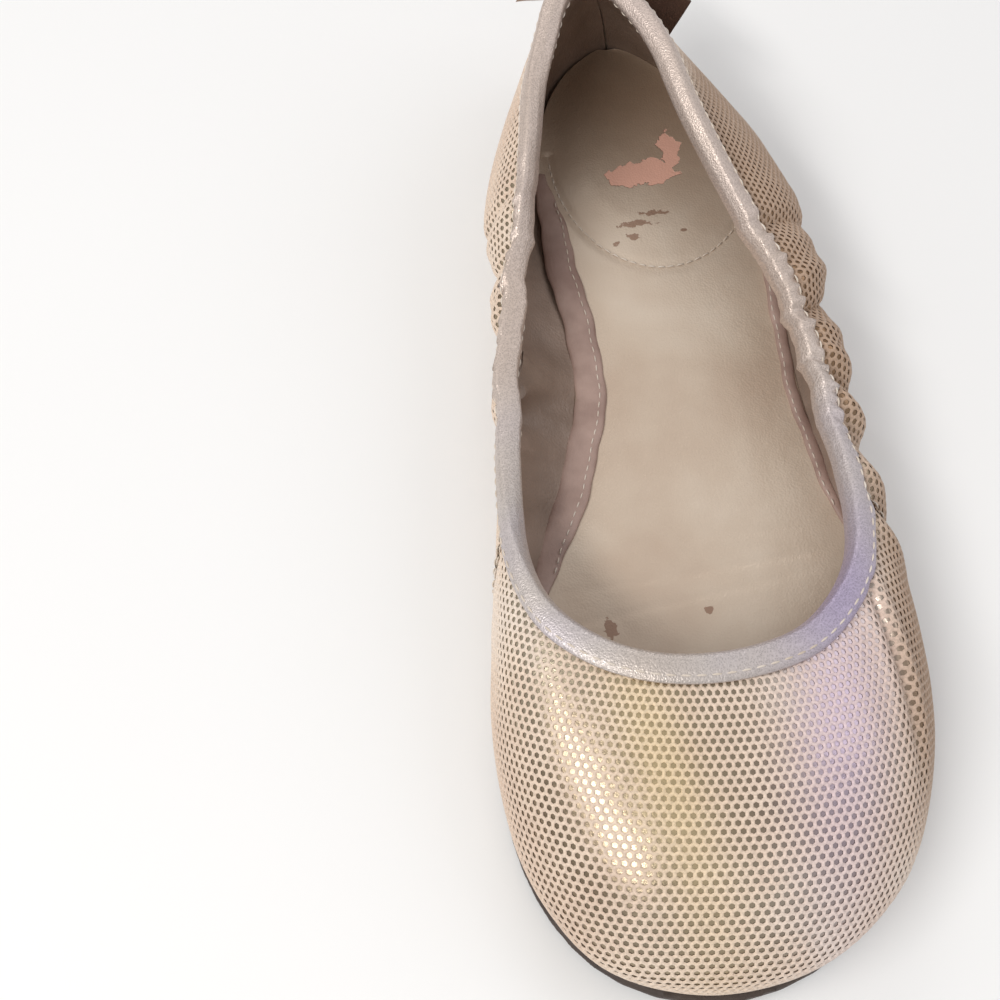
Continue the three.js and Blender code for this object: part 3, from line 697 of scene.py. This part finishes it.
def piece_columns(first, last, step, trim=0.05):
    """Even columns of one panel, held back a little from its two seams."""
    count = int(round((last - first) / step)) + 1
    return np.linspace(first + trim, last - trim, count)


SPANS = {  # first and last column of each panel
    "vamp": (upper.seams[2] - upper.columns, upper.seams[0]),
    "quarter_lateral": (upper.seams[0], upper.seams[1]),
    "quarter_medial": (upper.seams[1], upper.seams[2]),
}


# Depths inside the upper's outer face.
NET_DEPTH = 0.55 * MM
FOIL_DEPTHS = (0.6 * MM, 1.7 * MM)
LINING_DEPTHS = (3.0 * MM, 4.1 * MM)


def layer_name(panel, layer):
    """The CAD name of a panel's layer, such as quarter_mesh_medial."""
    head, _, side = panel.partition("_")
    return "_".join(filter(None, (head, layer, side)))


def wall_shell(span, row_from, row_to, depth_out, depth_in, step=0.12):
    """A layer of the wall between two depths, and between two rows."""
    columns = piece_columns(*span, step)
    rows = np.linspace(row_from, row_to, int((row_to - row_from) / 0.18) + 1)
    c, r = np.meshgrid(columns, rows, indexing="ij")
    return shell(wall(c, r, depth_out), wall(c, r, depth_in))


def painted_lavender_reflection(x, y):
    """Painted reflection: the lavender sheen on the outer front of the toe."""
    middle = 0.021 + 0.1 * (y + 0.08)
    return 0.85 * bell(x, middle, 0.011) * bell(y, -0.08, 0.034)


def painted_gold_reflection(x, y):
    """Painted reflection: the yellow band of the toe, just inside its brightest streak."""
    middle = -0.014 + 0.22 * (-0.085 - y)
    return 0.7 * bell(x, middle, 0.007) * bell(y, -0.085, 0.03)


def painted_copper_shade(x, y):
    """Painted shade: browner foil down the outer side and round the heel, on the side away from the
    key light.
    """
    outer = smoothstep(0.031, 0.042, x) * between(y, -0.095, 0.0, 0.02)
    return 0.85 * np.maximum(outer, smoothstep(0.004, 0.014, x) * smoothstep(-0.04, 0.0, y))


# Painted light on the foil and net: reflections on the toe, shade down the outer side.
PAINTED_FOIL_LIGHT = {"lavender": painted_lavender_reflection, "gold": painted_gold_reflection, "copper": painted_copper_shade}


def add_foil():
    for name, span in SPANS.items():
        vertices, faces = wall_shell(span, 0, upper.raw_row, *FOIL_DEPTHS)
        foil = add_piece(name + "_foil", vertices, faces, "foil", [name])
        mark_all(foil, PAINTED_FOIL_LIGHT)


def lining_fold(points):
    """The crumpled fold of the medial lining at the waist, as a push into the shoe."""
    x, y, z = points[..., 0], points[..., 1], points[..., 2]
    line = (y - 0.006) + 0.55 * (z - 0.02)
    ridge = bell(line, 0, 0.0028) - 0.7 * bell(line, -0.006, 0.003)
    wide = 0.5 * np.sin(y * 420 + z * 130) * between(y, -0.045, 0.075, 0.015)
    return (2.6 * ridge * bell(z, 0.026, 0.008) + 0.45 * wide) * MM * (x < 0)


def add_linings():
    for name, span in SPANS.items():
        node = layer_name(name, "lining")
        columns = piece_columns(*span, 0.12)
        rows = np.linspace(1, upper.raw_row, 60)
        c, r = np.meshgrid(columns, rows, indexing="ij")
        here, _ = upper.frame_at(c, r)
        fold = lining_fold(here) * (1 - smoothstep(8, 9.2, r))
        outside, inside = wall(c, r, LINING_DEPTHS[0]), wall(c, r, LINING_DEPTHS[1] + fold)
        vertices, faces = shell(outside, inside)
        add_piece(node + "_skin", vertices, faces, "lining", [node])


# ---- net ----
NET_PITCH = 1.74 * MM
NET_ROW_SPAN = (1.0, 9.95)
# From a hole's cell border inwards: share of the cell's size, and height in mm.
STRAND_SECTION = ((1.0, 0.36), (0.78, 0.32), (0.58, 0.05))


def unwrapped(span):
    """A flat, little-stretched pattern of a wall: flat points, their (column, row) and faces."""
    columns = piece_columns(*span, 0.5, trim=0.12)
    heights = np.linspace(*NET_ROW_SPAN, 24)
    c, r = np.meshgrid(columns, heights, indexing="ij")
    points = upper.point(c, r).reshape(-1, 3)
    faces = grid_faces(len(heights), len(columns))
    mesh = bpy.data.meshes.new("pattern")
    mesh.from_pydata([tuple(p) for p in points], [], faces)
    layer = mesh.uv_layers.new(name="flat")
    scratch = add_object("pattern", mesh)
    bpy.context.view_layer.objects.active = scratch
    scratch.select_set(True)
    bpy.ops.object.mode_set(mode="EDIT")
    bpy.ops.mesh.select_all(action="SELECT")
    bpy.ops.uv.unwrap(method="MINIMUM_STRETCH", iterations=60, fill_holes=False)
    bpy.ops.object.mode_set(mode="OBJECT")
    flat = np.zeros((len(points), 2))
    for loop, uv in zip(mesh.loops, mesh.uv_layers["flat"].data):
        flat[loop.vertex_index] = uv.uv
    bpy.data.objects.remove(scratch)
    bpy.data.meshes.remove(mesh)
    # Scaled to the wall's own area, and turned so that the net's rows run across the foot.
    solid = flat_area = 0.0
    for a, b, d, e in faces:
        solid += np.linalg.norm(np.cross(points[b] - points[a], points[e] - points[a]))
        one, two = flat[b] - flat[a], flat[e] - flat[a]
        flat_area += abs(one[0] * two[1] - one[1] * two[0])
    flat *= math.sqrt(solid / flat_area)
    middle = np.argmin(np.abs(c.ravel() - np.mean(span)) + np.abs(r.ravel() - 7))
    near = np.argsort(np.linalg.norm(points - points[middle], axis=1))[:9]
    away, flat_away = points[near] - points[middle], flat[near] - flat[middle]
    heelwards, _, _, _ = np.linalg.lstsq(flat_away, away[:, 1], rcond=None)
    turn = math.atan2(heelwards[0], heelwards[1])
    spin = np.array([[math.cos(turn), -math.sin(turn)], [math.sin(turn), math.cos(turn)]])
    return flat @ spin.T, np.stack([c.ravel(), r.ravel()], axis=1), faces


def net_points(flat_points, pattern):
    """(column, row) of points of the flat pattern, and which of them lie on it."""
    flat, places, faces, tree = pattern
    found = np.zeros((len(flat_points), 2))
    inside = np.zeros(len(flat_points), bool)
    for i, (x, y) in enumerate(flat_points):
        spot, _, index, distance = tree.find_nearest((x, y, 0), 0.002)
        if spot is None or distance > 1e-6:
            continue
        found[i] = place_in_triangle((x, y), faces[index], flat, places)
        inside[i] = True
    return found, inside


def place_in_triangle(spot, corners, flat, places):
    """The (column, row) at a flat spot, from those of its triangle's corners."""
    a, b, c = (flat[k] for k in corners)

    def twice_area(p, q, r):
        return (q[0] - p[0]) * (r[1] - p[1]) - (q[1] - p[1]) * (r[0] - p[0])

    whole = twice_area(a, b, c)
    u, v = twice_area(spot, b, c) / whole, twice_area(spot, c, a) / whole
    return u * places[corners[0]] + v * places[corners[1]] + (1 - u - v) * places[corners[2]]


def hole_centres(flat, pattern):
    """The middles of the net's holes, in staggered rows over the flat pattern."""
    low, high = flat.min(axis=0), flat.max(axis=0)
    step_x, step_y = NET_PITCH, NET_PITCH * math.sqrt(3) / 2
    centres = []
    for j in range(int((high[1] - low[1]) / step_y) + 2):
        shift = 0.5 * (j % 2)
        for i in range(int((high[0] - low[0]) / step_x) + 2):
            centres.append((low[0] + (i + shift) * step_x, low[1] + j * step_y))
    centres = np.array(centres)
    _, inside = net_points(centres, pattern)
    return centres[inside]


def net_mesh(span):
    """Knitted net with staggered hexagonal holes, laid over the foil."""
    flat, places, quads = unwrapped(span)
    triangles = [t for a, b, c, d in quads for t in ((a, b, c), (a, c, d))]
    tree = BVHTree.FromPolygons([(x, y, 0) for x, y in flat], triangles)
    pattern = (flat, places, triangles, tree)
    angles = np.radians(30 + 60 * np.arange(6))
    hexagon = np.stack([np.cos(angles), np.sin(angles)], axis=1) * NET_PITCH / math.sqrt(3)
    key_of = {}
    spots, lifts, faces = [], [], []
    for centre in hole_centres(flat, pattern):
        ids = []
        for scale, lift in STRAND_SECTION:
            ring = []
            for corner in hexagon:
                spot = centre + corner * scale
                key = (round(spot[0] * 2e5), round(spot[1] * 2e5), lift)
                if key not in key_of:
                    key_of[key] = len(spots)
                    spots.append(spot)
                    lifts.append(lift * MM)
                ring.append(key_of[key])
            ids.append(ring)
        for outer, inner in zip(ids, ids[1:]):
            for k in range(6):
                n = (k + 1) % 6
                faces.append((outer[k], outer[n], inner[n], inner[k]))
    found, inside = net_points(np.array(spots), pattern)
    faces = [f for f in faces if all(inside[list(f)])]
    return wall(found[:, 0], found[:, 1], NET_DEPTH - np.array(lifts)), faces


def add_nets():
    for name, span in SPANS.items():
        node = layer_name(name, "mesh")
        net = add_piece(node + "_net", *net_mesh(span), "net", [node])
        mark_all(net, PAINTED_FOIL_LIGHT)


# ---- topline binding ----
# The folded tape's section: drop below the fold and depth inside the outer face, in mm.
BINDING_SECTION = (
    (6.0, -0.3), (5.7, -0.95), (3.4, -1.2), (1.2, -0.95), (0.2, 0.1), (-0.2, 1.6), (0.3, 3.1),
    (1.4, 4.0), (3.4, 4.3), (5.6, 4.2), (5.9, 3.6), (5.0, 3.3), (1.4, 2.7), (1.2, 0.7), (5.0, -0.2),
)
BINDING_STITCH_DROP = 5.1 * MM
STAY_HALF_COLUMNS, STAY_STITCH_INSET, STAY_LIFT = 0.7, 0.14, 1.1 * MM
CORD_MIDDLE, CORD_RADII, CORD_SIDES = (1.8, 1.45), (0.85, 0.7), 12  # drop and depth, in mm


def closed_spline(points, per_span):
    """A smooth closed line through the points."""
    points = np.asarray(points, float)
    out = []
    for i in range(len(points)):
        ring = [points[(i + k - 1) % len(points)] for k in range(4)]
        for share in np.arange(per_span) / per_span:
            weights = catmull_weights(share)
            out.append(sum(w * p for w, p in zip(weights, ring)))
    return np.array(out)


def pucker(column):
    """Fine cross wrinkles of the binding where the elastic draws it in."""
    column = np.asarray(column, float)
    wave = np.sin(column * 9.1 + 1.3 * np.sin(column * 2.3)) * np.sin(column * 3.7 + 0.5)
    return wave * gather_strength(column) * 0.35 * MM


def binding_width(column):
    """Share of the binding's full width: full at the throat, narrower where it is stretched."""
    return 1.0 - 0.3 * between(from_toe(column), 17.0, 56.0, 3.0)


def tape_lavender(x, y):
    """The lavender end of the tape, at the outer throat."""
    return 0.9 * bell(x, 0.024, 0.014) * bell(y, -0.052, 0.02)


def tape_cream(x, y):
    """The cream stretch of the tape, from the waist back."""
    return 0.8 * smoothstep(-0.03, 0.02, y)


def add_binding():
    """The tape folded over the topline, puckered where the elastic draws it in."""
    columns = np.arange(0, upper.columns, 0.125)
    low = upper.point(columns, np.full(len(columns), float(upper.raw_row)))
    high = upper.point(columns, np.full(len(columns), float(upper.fold_row)))
    climb = (high - low) / np.linalg.norm(high - low, axis=1, keepdims=True)
    sections = []
    for drop, depth in closed_spline(BINDING_SECTION, 3) * MM:
        row = upper.row_at_drop(max(drop, 0) * binding_width(columns))
        here, normal = upper.frame_at(columns, row)
        push = gather(columns, row) - depth
        ruffle = 1.0 + 2.2 * smoothstep(2.5 * MM, 6 * MM, drop) if depth < 3 * MM else 0.4
        swell = pucker(columns) * ruffle
        sections.append(here + normal * (push + swell)[:, None] + climb * max(-drop, 0))
    grid = np.array(sections).transpose(1, 0, 2)
    faces = hoop_faces(*grid.shape[:2])
    band = add_piece("topline_binding_band", grid, faces, "binding", ["topline_binding"])
    mark_all(band, {"lavender": tape_lavender, "cream": tape_cream})


def add_back_stay():
    """The strip over the back seam, stitched down both sides and tucked under the binding."""
    low, high = 2.0, float(upper.row_at_drop(4.0 * MM))
    span = (upper.heel - STAY_HALF_COLUMNS, upper.heel + STAY_HALF_COLUMNS)
    vertices, faces = wall_shell(span, low, high, -STAY_LIFT, -0.35 * MM, 0.05)
    add_piece("back_stay_strip", vertices, faces, "binding", ["back_stay"])
    inset = STAY_HALF_COLUMNS - STAY_STITCH_INSET
    for side, offset in (("lateral", -inset), ("medial", inset)):
        rows = np.linspace(low + 0.2, high - 0.2, 90)
        points, normals = wall_line(np.full(90, upper.heel + offset), rows, -STAY_LIFT)
        add_stitch_line(f"back_stay_stitches_{side}", points, normals)


def add_elastic():
    """The braided elastic cord that runs inside the binding."""
    columns = np.arange(0, upper.columns, 0.2)
    rings = []
    for angle in TAU * np.arange(CORD_SIDES) / CORD_SIDES:
        drop = (CORD_MIDDLE[0] + CORD_RADII[0] * math.cos(angle)) * MM
        depth = (CORD_MIDDLE[1] + CORD_RADII[1] * math.sin(angle)) * MM
        rings.append(wall(columns, upper.row_at_drop(drop), depth))
    grid = np.array(rings).transpose(1, 0, 2)
    faces = hoop_faces(*grid.shape[:2])
    add_piece("topline_elastic_cord", grid, faces, "elastic", ["topline_elastic"])


# ---- stitches ----
def stitch_mesh(starts, ends, radius, lift):
    """Short rounded threads, each sunk at both ends; lift is the surface's outward normal."""
    vertices, faces = [], []
    sides, stations = 6, 5
    for start, end, out in zip(starts, ends, lift):
        along = end - start
        length = np.linalg.norm(along)
        along = along / length
        side = np.cross(along, out)
        first = len(vertices)
        for i in range(stations):
            share = i / (stations - 1)
            arch = math.sin(math.pi * share)
            centre = start + along * length * share + out * radius * (0.9 * arch - 0.2)
            girth = radius * (0.55 + 0.45 * arch)
            for k in range(sides):
                angle = TAU * k / sides
                vertices.append(centre + girth * (math.cos(angle) * side + math.sin(angle) * out))
        faces.extend(rod_faces(stations, sides, first))
    return np.array(vertices), faces


def add_stitch_line(name, points, normals, size_mm=(2.0, 0.9, 0.22), closed=False):
    """Stitches at even steps along a line; size_mm is their length, gap and radius."""
    length, gap, radius = (size * MM for size in size_mm)
    if closed:
        points = np.concatenate([points, points[:1]])
        normals = np.concatenate([normals, normals[:1]])
    steps = np.linalg.norm(np.diff(points, axis=0), axis=1)
    travel = np.concatenate([[0], np.cumsum(steps)])
    count = max(1, int(travel[-1] / (length + gap)))
    pitch = travel[-1] / count
    begin = np.arange(count) * pitch
    share = length / (length + gap)

    def at(distance, values):
        return np.stack([np.interp(distance, travel, values[:, k]) for k in range(3)], axis=1)

    out = at(begin + pitch * share / 2, normals)
    out /= np.linalg.norm(out, axis=1, keepdims=True)
    vertices, faces = stitch_mesh(at(begin, points), at(begin + pitch * share, points), radius, out)
    add_piece(name, vertices, faces, "thread")


def wall_line(columns, rows, depth):
    """Points along the wall at a depth, and the outward normals there."""
    _, normals = upper.frame_at(columns, rows)
    return wall(columns, rows, depth), normals


def add_seam_stitches():
    """The row along the binding, outside and in, and one each side of the side seams."""
    columns = np.arange(0, upper.columns, 0.1)
    row = upper.row_at_drop(BINDING_STITCH_DROP * binding_width(columns))
    points, normals = wall_line(columns, row, -1.0 * MM)
    add_stitch_line("binding_stitches", points, normals, closed=True)
    points, normals = wall_line(columns, row, 4.25 * MM)
    add_stitch_line("binding_inner_stitches", points, -normals, closed=True)
    for side, seam in (("lateral", upper.seams[0]), ("medial", upper.seams[2])):
        for offset in (-0.22, 0.22):
            rows = np.linspace(2.2, upper.leg_row - 0.1, 80)
            points, normals = wall_line(np.full(80, seam + offset), rows, 0.1 * MM)
            tag = "front" if offset * (1 if side == "medial" else -1) > 0 else "rear"
            add_stitch_line(f"seam_stitches_{side}_{tag}", points, normals)


# ---- insole ----
class Footbed:
    """The top of the sock lining: its two edges and its height along the foot."""

    def __init__(self):
        source = welded("sock_lining")
        points = np.array([v.co for v in source.verts])
        source.free()
        lines = {}
        for x, y, z in points:
            lines.setdefault(round(y * 1e5), []).append((x, y, z))
        stations = []
        for line in sorted(lines.values(), key=lambda line: line[0][1]):
            if len(line) < 4:
                continue
            x, y, z = np.array(line).T
            stations.append((y[0], x.min(), x.max(), z.max()))
        self.table = np.array(stations)

    def at(self, y):
        """The left edge, right edge and height at a distance along the foot."""
        return [np.interp(y, self.table[:, 0], self.table[:, k]) for k in (1, 2, 3)]


footbed = Footbed()


SOCK_GRID = (400, 116)  # vertices along and across
SOCK_THICKNESS = 0.8 * MM


def add_sock():
    """The insole's cover, with its padded heel, dents, creases and raised rim."""
    front, back = footbed.table[0, 0], footbed.table[-1, 0]
    along, across = SOCK_GRID
    share = (1 - np.cos(np.pi * np.linspace(0.006, 0.994, along))) / 2
    line = front + (back - front) * share
    left, right, top = (smooth_line(values, 90) for values in footbed.at(line))
    side = np.linspace(0, 1, across)
    x = left[:, None] + (right - left)[:, None] * side
    y = np.tile(line[:, None], (1, across))
    z = smooth_rows(np.tile(top[:, None], (1, across)))
    edge = np.minimum(side, 1 - side)[None, :] * (right - left)[:, None]
    z += 0.5 * MM * np.exp(-(edge / (2.0 * MM)))
    z += sock_relief(x, y)
    grid = np.stack([x, y, z], axis=-1)
    vertices, faces = shell(grid, grid - [0.0, 0.0, SOCK_THICKNESS])
    sock = add_piece("sock_lining_cover", vertices, faces, "sock", ["sock_lining"])
    mark_all(sock, {"peel": peel_field, "soil": soil_field, "scuff": scuff_field})


def smooth_line(values, times):
    """Evens out a run of numbers; its two ends stay."""
    values = np.array(values)
    for _ in range(times):
        values[1:-1] = (values[:-2] + 2 * values[1:-1] + values[2:]) / 4
    return values


def smooth_rows(height):
    """Evens out a grid of heights along its rows."""
    for _ in range(12):
        padded = np.pad(height, ((1, 1), (0, 0)), mode="edge")
        height = (padded[:-2] + 2 * padded[1:-1] + padded[2:]) / 4
    return height


HEEL_ARC = (0.0025, 0.0765, 0.0262, 0.036)  # middle x and y, half width and length of the arc
# Middle x and y, slope as an angle, and depth in mm.
CREASES = ((0.01, -0.036, 0.12, 0.28), (0.0, -0.043, 0.18, 0.22), (0.02, -0.028, 0.05, 0.15))


def arc_distance(x, y):
    """How far outside the stitched arc of the heel a point lies."""
    cx, cy, half, length = HEEL_ARC
    return (np.hypot((x - cx) / half, np.minimum(y - cy, 0) / length) - 1) * half


def sock_relief(x, y):
    """The padded heel behind the stitched arc, foot wear and soft dents."""
    distance = arc_distance(x, y)
    inside = smoothstep(0, 9 * MM, -distance)
    groove = -0.5 * MM * bell(distance, 0, 1.1 * MM) * (y < HEEL_ARC[1])
    crease = 0
    for cx, cy, angle, depth in CREASES:
        line = (y - cy) - math.tan(angle) * (x - cx)
        crease = crease - depth * MM * bell(line, 0, 0.8 * MM) * bell(x, cx, 0.03)
    dent = -0.8 * MM * bell(x, 0.004, 0.016) * bell(y, -0.05, 0.03)
    return inside * 0.9 * MM + groove + crease + dent


# Worn spots of the insole: middle x and y, half width and half length.
PEEL_SPOTS = (
    (0.0015, 0.0685, 0.0082, 0.005), (-0.0055, 0.067, 0.0055, 0.0038),
    (0.0072, 0.0745, 0.0036, 0.0066),
)
SCUFF_SPOTS = (
    (-0.004, 0.0525, 0.006, 0.0012), (0.001, 0.0555, 0.005, 0.001),
    (-0.0045, 0.049, 0.0022, 0.001), (0.003, -0.046, 0.0016, 0.0012),
    (0.019, -0.0535, 0.0011, 0.001), (0.0, -0.062, 0.0012, 0.0009),
    (0.0265, -0.061, 0.0012, 0.0007), (-0.019, -0.049, 0.0018, 0.003),
    (0.012, -0.0665, 0.0014, 0.0007), (-0.009, 0.0475, 0.0014, 0.0008),
    (0.008, 0.05, 0.0012, 0.0007), (-0.0185, 0.012, 0.0009, 0.003),
)


def spot_field(x, y, spots):
    near = [np.exp(-((x - cx) / w) ** 2 - ((y - cy) / h) ** 2) for cx, cy, w, h in spots]
    return np.max(near, axis=0)


def peel_field(x, y):
    return spot_field(x, y, PEEL_SPOTS)


def soil_field(x, y):
    """The heel's seat is darker, and the rim of the forefoot carries painted shade along the walls.
    """
    rim = smoothstep(0.95, 1.1, np.hypot(x / 0.036, (y + 0.045) / 0.07)) * (y < 0)
    return 0.75 * smoothstep(0.045, 0.1, y) + 0.25 * rim


def scuff_field(x, y):
    return spot_field(x, y, SCUFF_SPOTS)


def add_sock_stitches():
    """The arc of stitches in front of the padded heel."""
    cx, cy, half, length = HEEL_ARC
    angles = np.linspace(math.pi, TAU, 120)
    x, y = cx + half * np.cos(angles), cy + length * np.sin(angles)
    left, right, top = footbed.at(y)
    keep = (x > left + 3.4 * MM) & (x < right - 3.4 * MM)
    z = top + sock_relief(x, y) + 0.1 * MM
    points = np.stack([x, y, z], axis=1)[keep]
    normals = np.tile(UP, (len(points), 1))
    add_stitch_line("sock_arc_stitches", points, normals, (1.7, 0.6, 0.2))


def tapered_roll(path, half_width, half_height, sides=20):
    """A rounded strip along a path on the footbed, tapering away at both ends."""
    path = np.asarray(path)
    ahead = np.gradient(path, axis=0)
    ahead /= np.linalg.norm(ahead, axis=1, keepdims=True)
    aside = np.cross(ahead, UP)
    aside /= np.linalg.norm(aside, axis=1, keepdims=True)
    lift = np.cross(aside, ahead)
    swell = np.clip(np.sin(np.pi * np.linspace(0.01, 0.99, len(path))), 0, 1)
    taper = np.sqrt(swell * 1.6).clip(0, 1)
    angles = TAU * np.arange(sides) / sides
    girth_x = (half_width * taper)[:, None] * np.cos(angles)
    girth_z = (half_height * taper)[:, None] * np.sin(angles)
    vertices = path[:, None] + girth_x[..., None] * aside[:, None]
    vertices = vertices + girth_z[..., None] * lift[:, None]
    return vertices, rod_faces(len(path), sides)


WELTS = (  # side, first and last y, then inset and half width in mm
    ("medial", -0.045, 0.07, 2.7, 3.7),
    ("lateral", -0.03, 0.055, 1.2, 1.5),
)


def add_lining_welts():
    """Where each quarter lining is turned under, a soft roll lies along the insole's edge."""
    for side, y_from, y_to, inset, half_width in WELTS:
        y = np.linspace(y_from, y_to, 260)
        left, right, top = footbed.at(y)
        wander = 0.5 * np.sin(y * 260) + 0.25 * np.sin(y * 710 + 1)
        ends = 1 - 0.55 * np.sin(np.pi * np.linspace(0, 1, len(y)))
        inwards = (inset * (1.6 - ends) + wander * 0.5) * MM
        x = left + inwards if side == "medial" else right - inwards
        z = top + (0.35 + 0.15 * wander) * MM
        path = np.stack([x, y, z], axis=1)
        vertices, faces = tapered_roll(path, half_width * MM, 1.0 * MM)
        add_piece(f"lining_welt_{side}", vertices, faces, "welt")
        inner = 0.55 if side == "medial" else -0.55
        seam = (path + [inner * half_width * MM, 0, 0.85 * MM])[20:-20]
        up = np.tile(UP, (len(seam), 1))
        add_stitch_line(f"lining_welt_stitches_{side}", seam, up, (1.5, 0.9, 0.17))


# ---- pieces remade from their CAD shape, with soft edges and surface relief ----
def remade(node, name, material, voxel_mm, rounds, relief=None):
    """A copy of a CAD node, remeshed finely, its corners rounded and pushed by a relief."""
    cad = frame["nodes"][node]
    mesh = cad.data.copy()
    mesh.name = name
    mesh.transform(cad.matrix_world)
    piece = add_object(name, mesh)
    remesh = piece.modifiers.new("remesh", "REMESH")
    remesh.mode = "VOXEL"
    remesh.voxel_size = voxel_mm * MM
    soften = piece.modifiers.new("soften", "SMOOTH")
    soften.factor = 0.5
    soften.iterations = rounds
    bpy.context.view_layer.update()
    graph = bpy.context.evaluated_depsgraph_get()
    solid = bpy.data.meshes.new_from_object(piece.evaluated_get(graph))
    piece.modifiers.clear()
    piece.data = solid
    bpy.data.meshes.remove(mesh)
    if relief is not None:
        points = vertex_values(solid, "co")
        points += vertex_values(solid, "normal") * relief(points)[:, None]
        solid.vertices.foreach_set("co", points.ravel())
    solid.materials.clear()
    solid.materials.append(MATERIALS[material])
    solid.shade_smooth()
    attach(piece, "slipper")
    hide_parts(node)
    return piece


BOW_TILT = math.radians(22)
BOW_HALF_SPAN = 21.5 * MM
BOW_WRAP = 9.5 * MM  # how far forward the ends curve round the heel
BOW_LEATHER = 0.7 * MM
BOW_LOOP_GRID, BOW_KNOT_GRID = (150, 60), (91, 40)  # vertices along and across
KNOT_HALF_MM = (4.1, 3.1, 6.3)  # along the bow, towards the back, up


def bow_to_row(x, y, z):
    """From the bow's own axes (along, towards the back, up) to the row frame."""
    joints = frame["record"]["behaviour"]["joints"]
    joint = next(j for j in joints if j["name"] == "bow_swivel")
    cos, sin = math.cos(BOW_TILT), math.sin(BOW_TILT)
    bent = y - BOW_WRAP * (x / BOW_HALF_SPAN) ** 2
    return np.stack([x * cos + z * sin, bent, z * cos - x * sin], axis=-1) + joint["pos_m"]


def bow_loop(side):
    """One loop: a ribbon out along the back, round its end and home along the front."""
    along, across = BOW_LOOP_GRID
    t, v = np.meshgrid(np.linspace(0, 1, along), np.linspace(-1, 1, across), indexing="ij")
    turn = np.pi * t
    reach = BOW_HALF_SPAN * (1 - np.abs(2 * t - 1) ** 2.4)
    share = reach / BOW_HALF_SPAN
    half_depth = (0.9 + 1.7 * np.sin(np.pi * np.clip(share, 0, 1)) ** 0.8) * MM
    half_height = (4.4 + 3.4 * smoothstep(0, 0.55, share) - 0.9 * smoothstep(0.6, 1, share)) * MM
    crease = np.cos(v * 7.5 + side) * np.exp(-reach / (6.5 * MM))
    sag = 0.35 * np.sin(reach / (3.1 * MM) + 2.2 * v) * np.sin(turn) ** 0.8
    facing = np.sign(np.cos(turn)) * np.abs(np.cos(turn)) ** 0.5
    x = side * reach
    y = half_depth * np.cos(turn) + (0.75 * crease + sag) * MM * facing
    z = half_height * v + 0.5 * MM * np.sin(reach / (4.0 * MM) + side) * np.abs(v)
    inner_x = x - side * np.sin(turn) * 0.9 * BOW_LEATHER
    return bow_to_row(x, y, z), bow_to_row(inner_x, y - np.cos(turn) * BOW_LEATHER, z)


def bow_knot():
    """The strap wrapped round the bow's middle: a soft band with its own folds."""
    around, along = BOW_KNOT_GRID
    turn, t = np.meshgrid(np.linspace(0, TAU, around), np.linspace(-1, 1, along), indexing="ij")
    belly = 1 - 0.14 * t ** 2
    swell = 0.3 * np.sin(t * 9 + 0.9 * np.sin(turn)) + 0.15 * np.sin(3 * turn + 4 * t)
    half_x, half_y, half_z = KNOT_HALF_MM
    y = (half_y * belly + swell) * np.abs(np.cos(turn)) ** 0.9 * np.sign(np.cos(turn)) * MM
    z = (half_z * belly + swell) * np.abs(np.sin(turn)) ** 0.9 * np.sign(np.sin(turn)) * MM
    x = half_x * MM * t
    return bow_to_row(x, y, z), bow_to_row(x, 0.72 * y, 0.84 * z)


def painted_shade_end(x, y):
    """The bow's outer end, darkened as painted shade."""
    return 0.95 * smoothstep(-0.002, 0.004, x)


def add_bow():
    outer_loop = bow_loop(1)
    inner_loop = [grid[::-1] for grid in bow_loop(-1)]
    for name, node, grids in (("bow_loop_outer", "bow_loops", outer_loop),
                              ("bow_loop_inner", "bow_loops", inner_loop),
                              ("bow_knot_wrap", "bow_knot", bow_knot())):
        piece = add_piece(name, *shell(*grids), "bow", [node], body="bow")
        mark(piece, "dark", painted_shade_end)


def pad_relief(points):
    """Soft, slight unevenness of a foam sheet."""
    return 0.12 * MM * np.sin(points[:, 0] * 330 + 0.4) * np.sin(points[:, 1] * 290)


def add_pads():
    """The two foam layers, glued flat: soft rounded edges and a slightly uneven top."""
    remade("footbed_foam", "footbed_foam_sheet", "foam", 0.9, 4, pad_relief)
    remade("heel_pad", "heel_pad_foam", "foam", 0.5, 2, pad_relief)


def sole_relief(points):
    """A fine ribbed band round the sole's edge."""
    return 0.06 * MM * np.sin(points[:, 2] * TAU / (0.9 * MM))


def add_sole():
    remade("outsole", "outsole_moulded", "rubber", 0.7, 3, sole_relief)
    remade("heel_lift", "heel_lift_moulded", "rubber", 0.6, 3)


# ---- CAD nodes that stay ----
def dress(node, material):
    cad = frame["nodes"][node]
    cad.data.materials.clear()
    cad.data.materials.append(MATERIALS[material])


def dress_cad_nodes():
    for node in ("insole_board", "bottom_filler", "toe_puff", "heel_counter"):
        dress(node, "fibre")
    dress("bow_thread", "thread")


add_camera()
add_studio()
add_foil()
add_linings()
add_nets()
add_binding()
add_elastic()
add_back_stay()
add_seam_stitches()
add_sock()
add_sock_stitches()
add_lining_welts()
add_bow()
add_pads()
add_sole()
dress_cad_nodes()
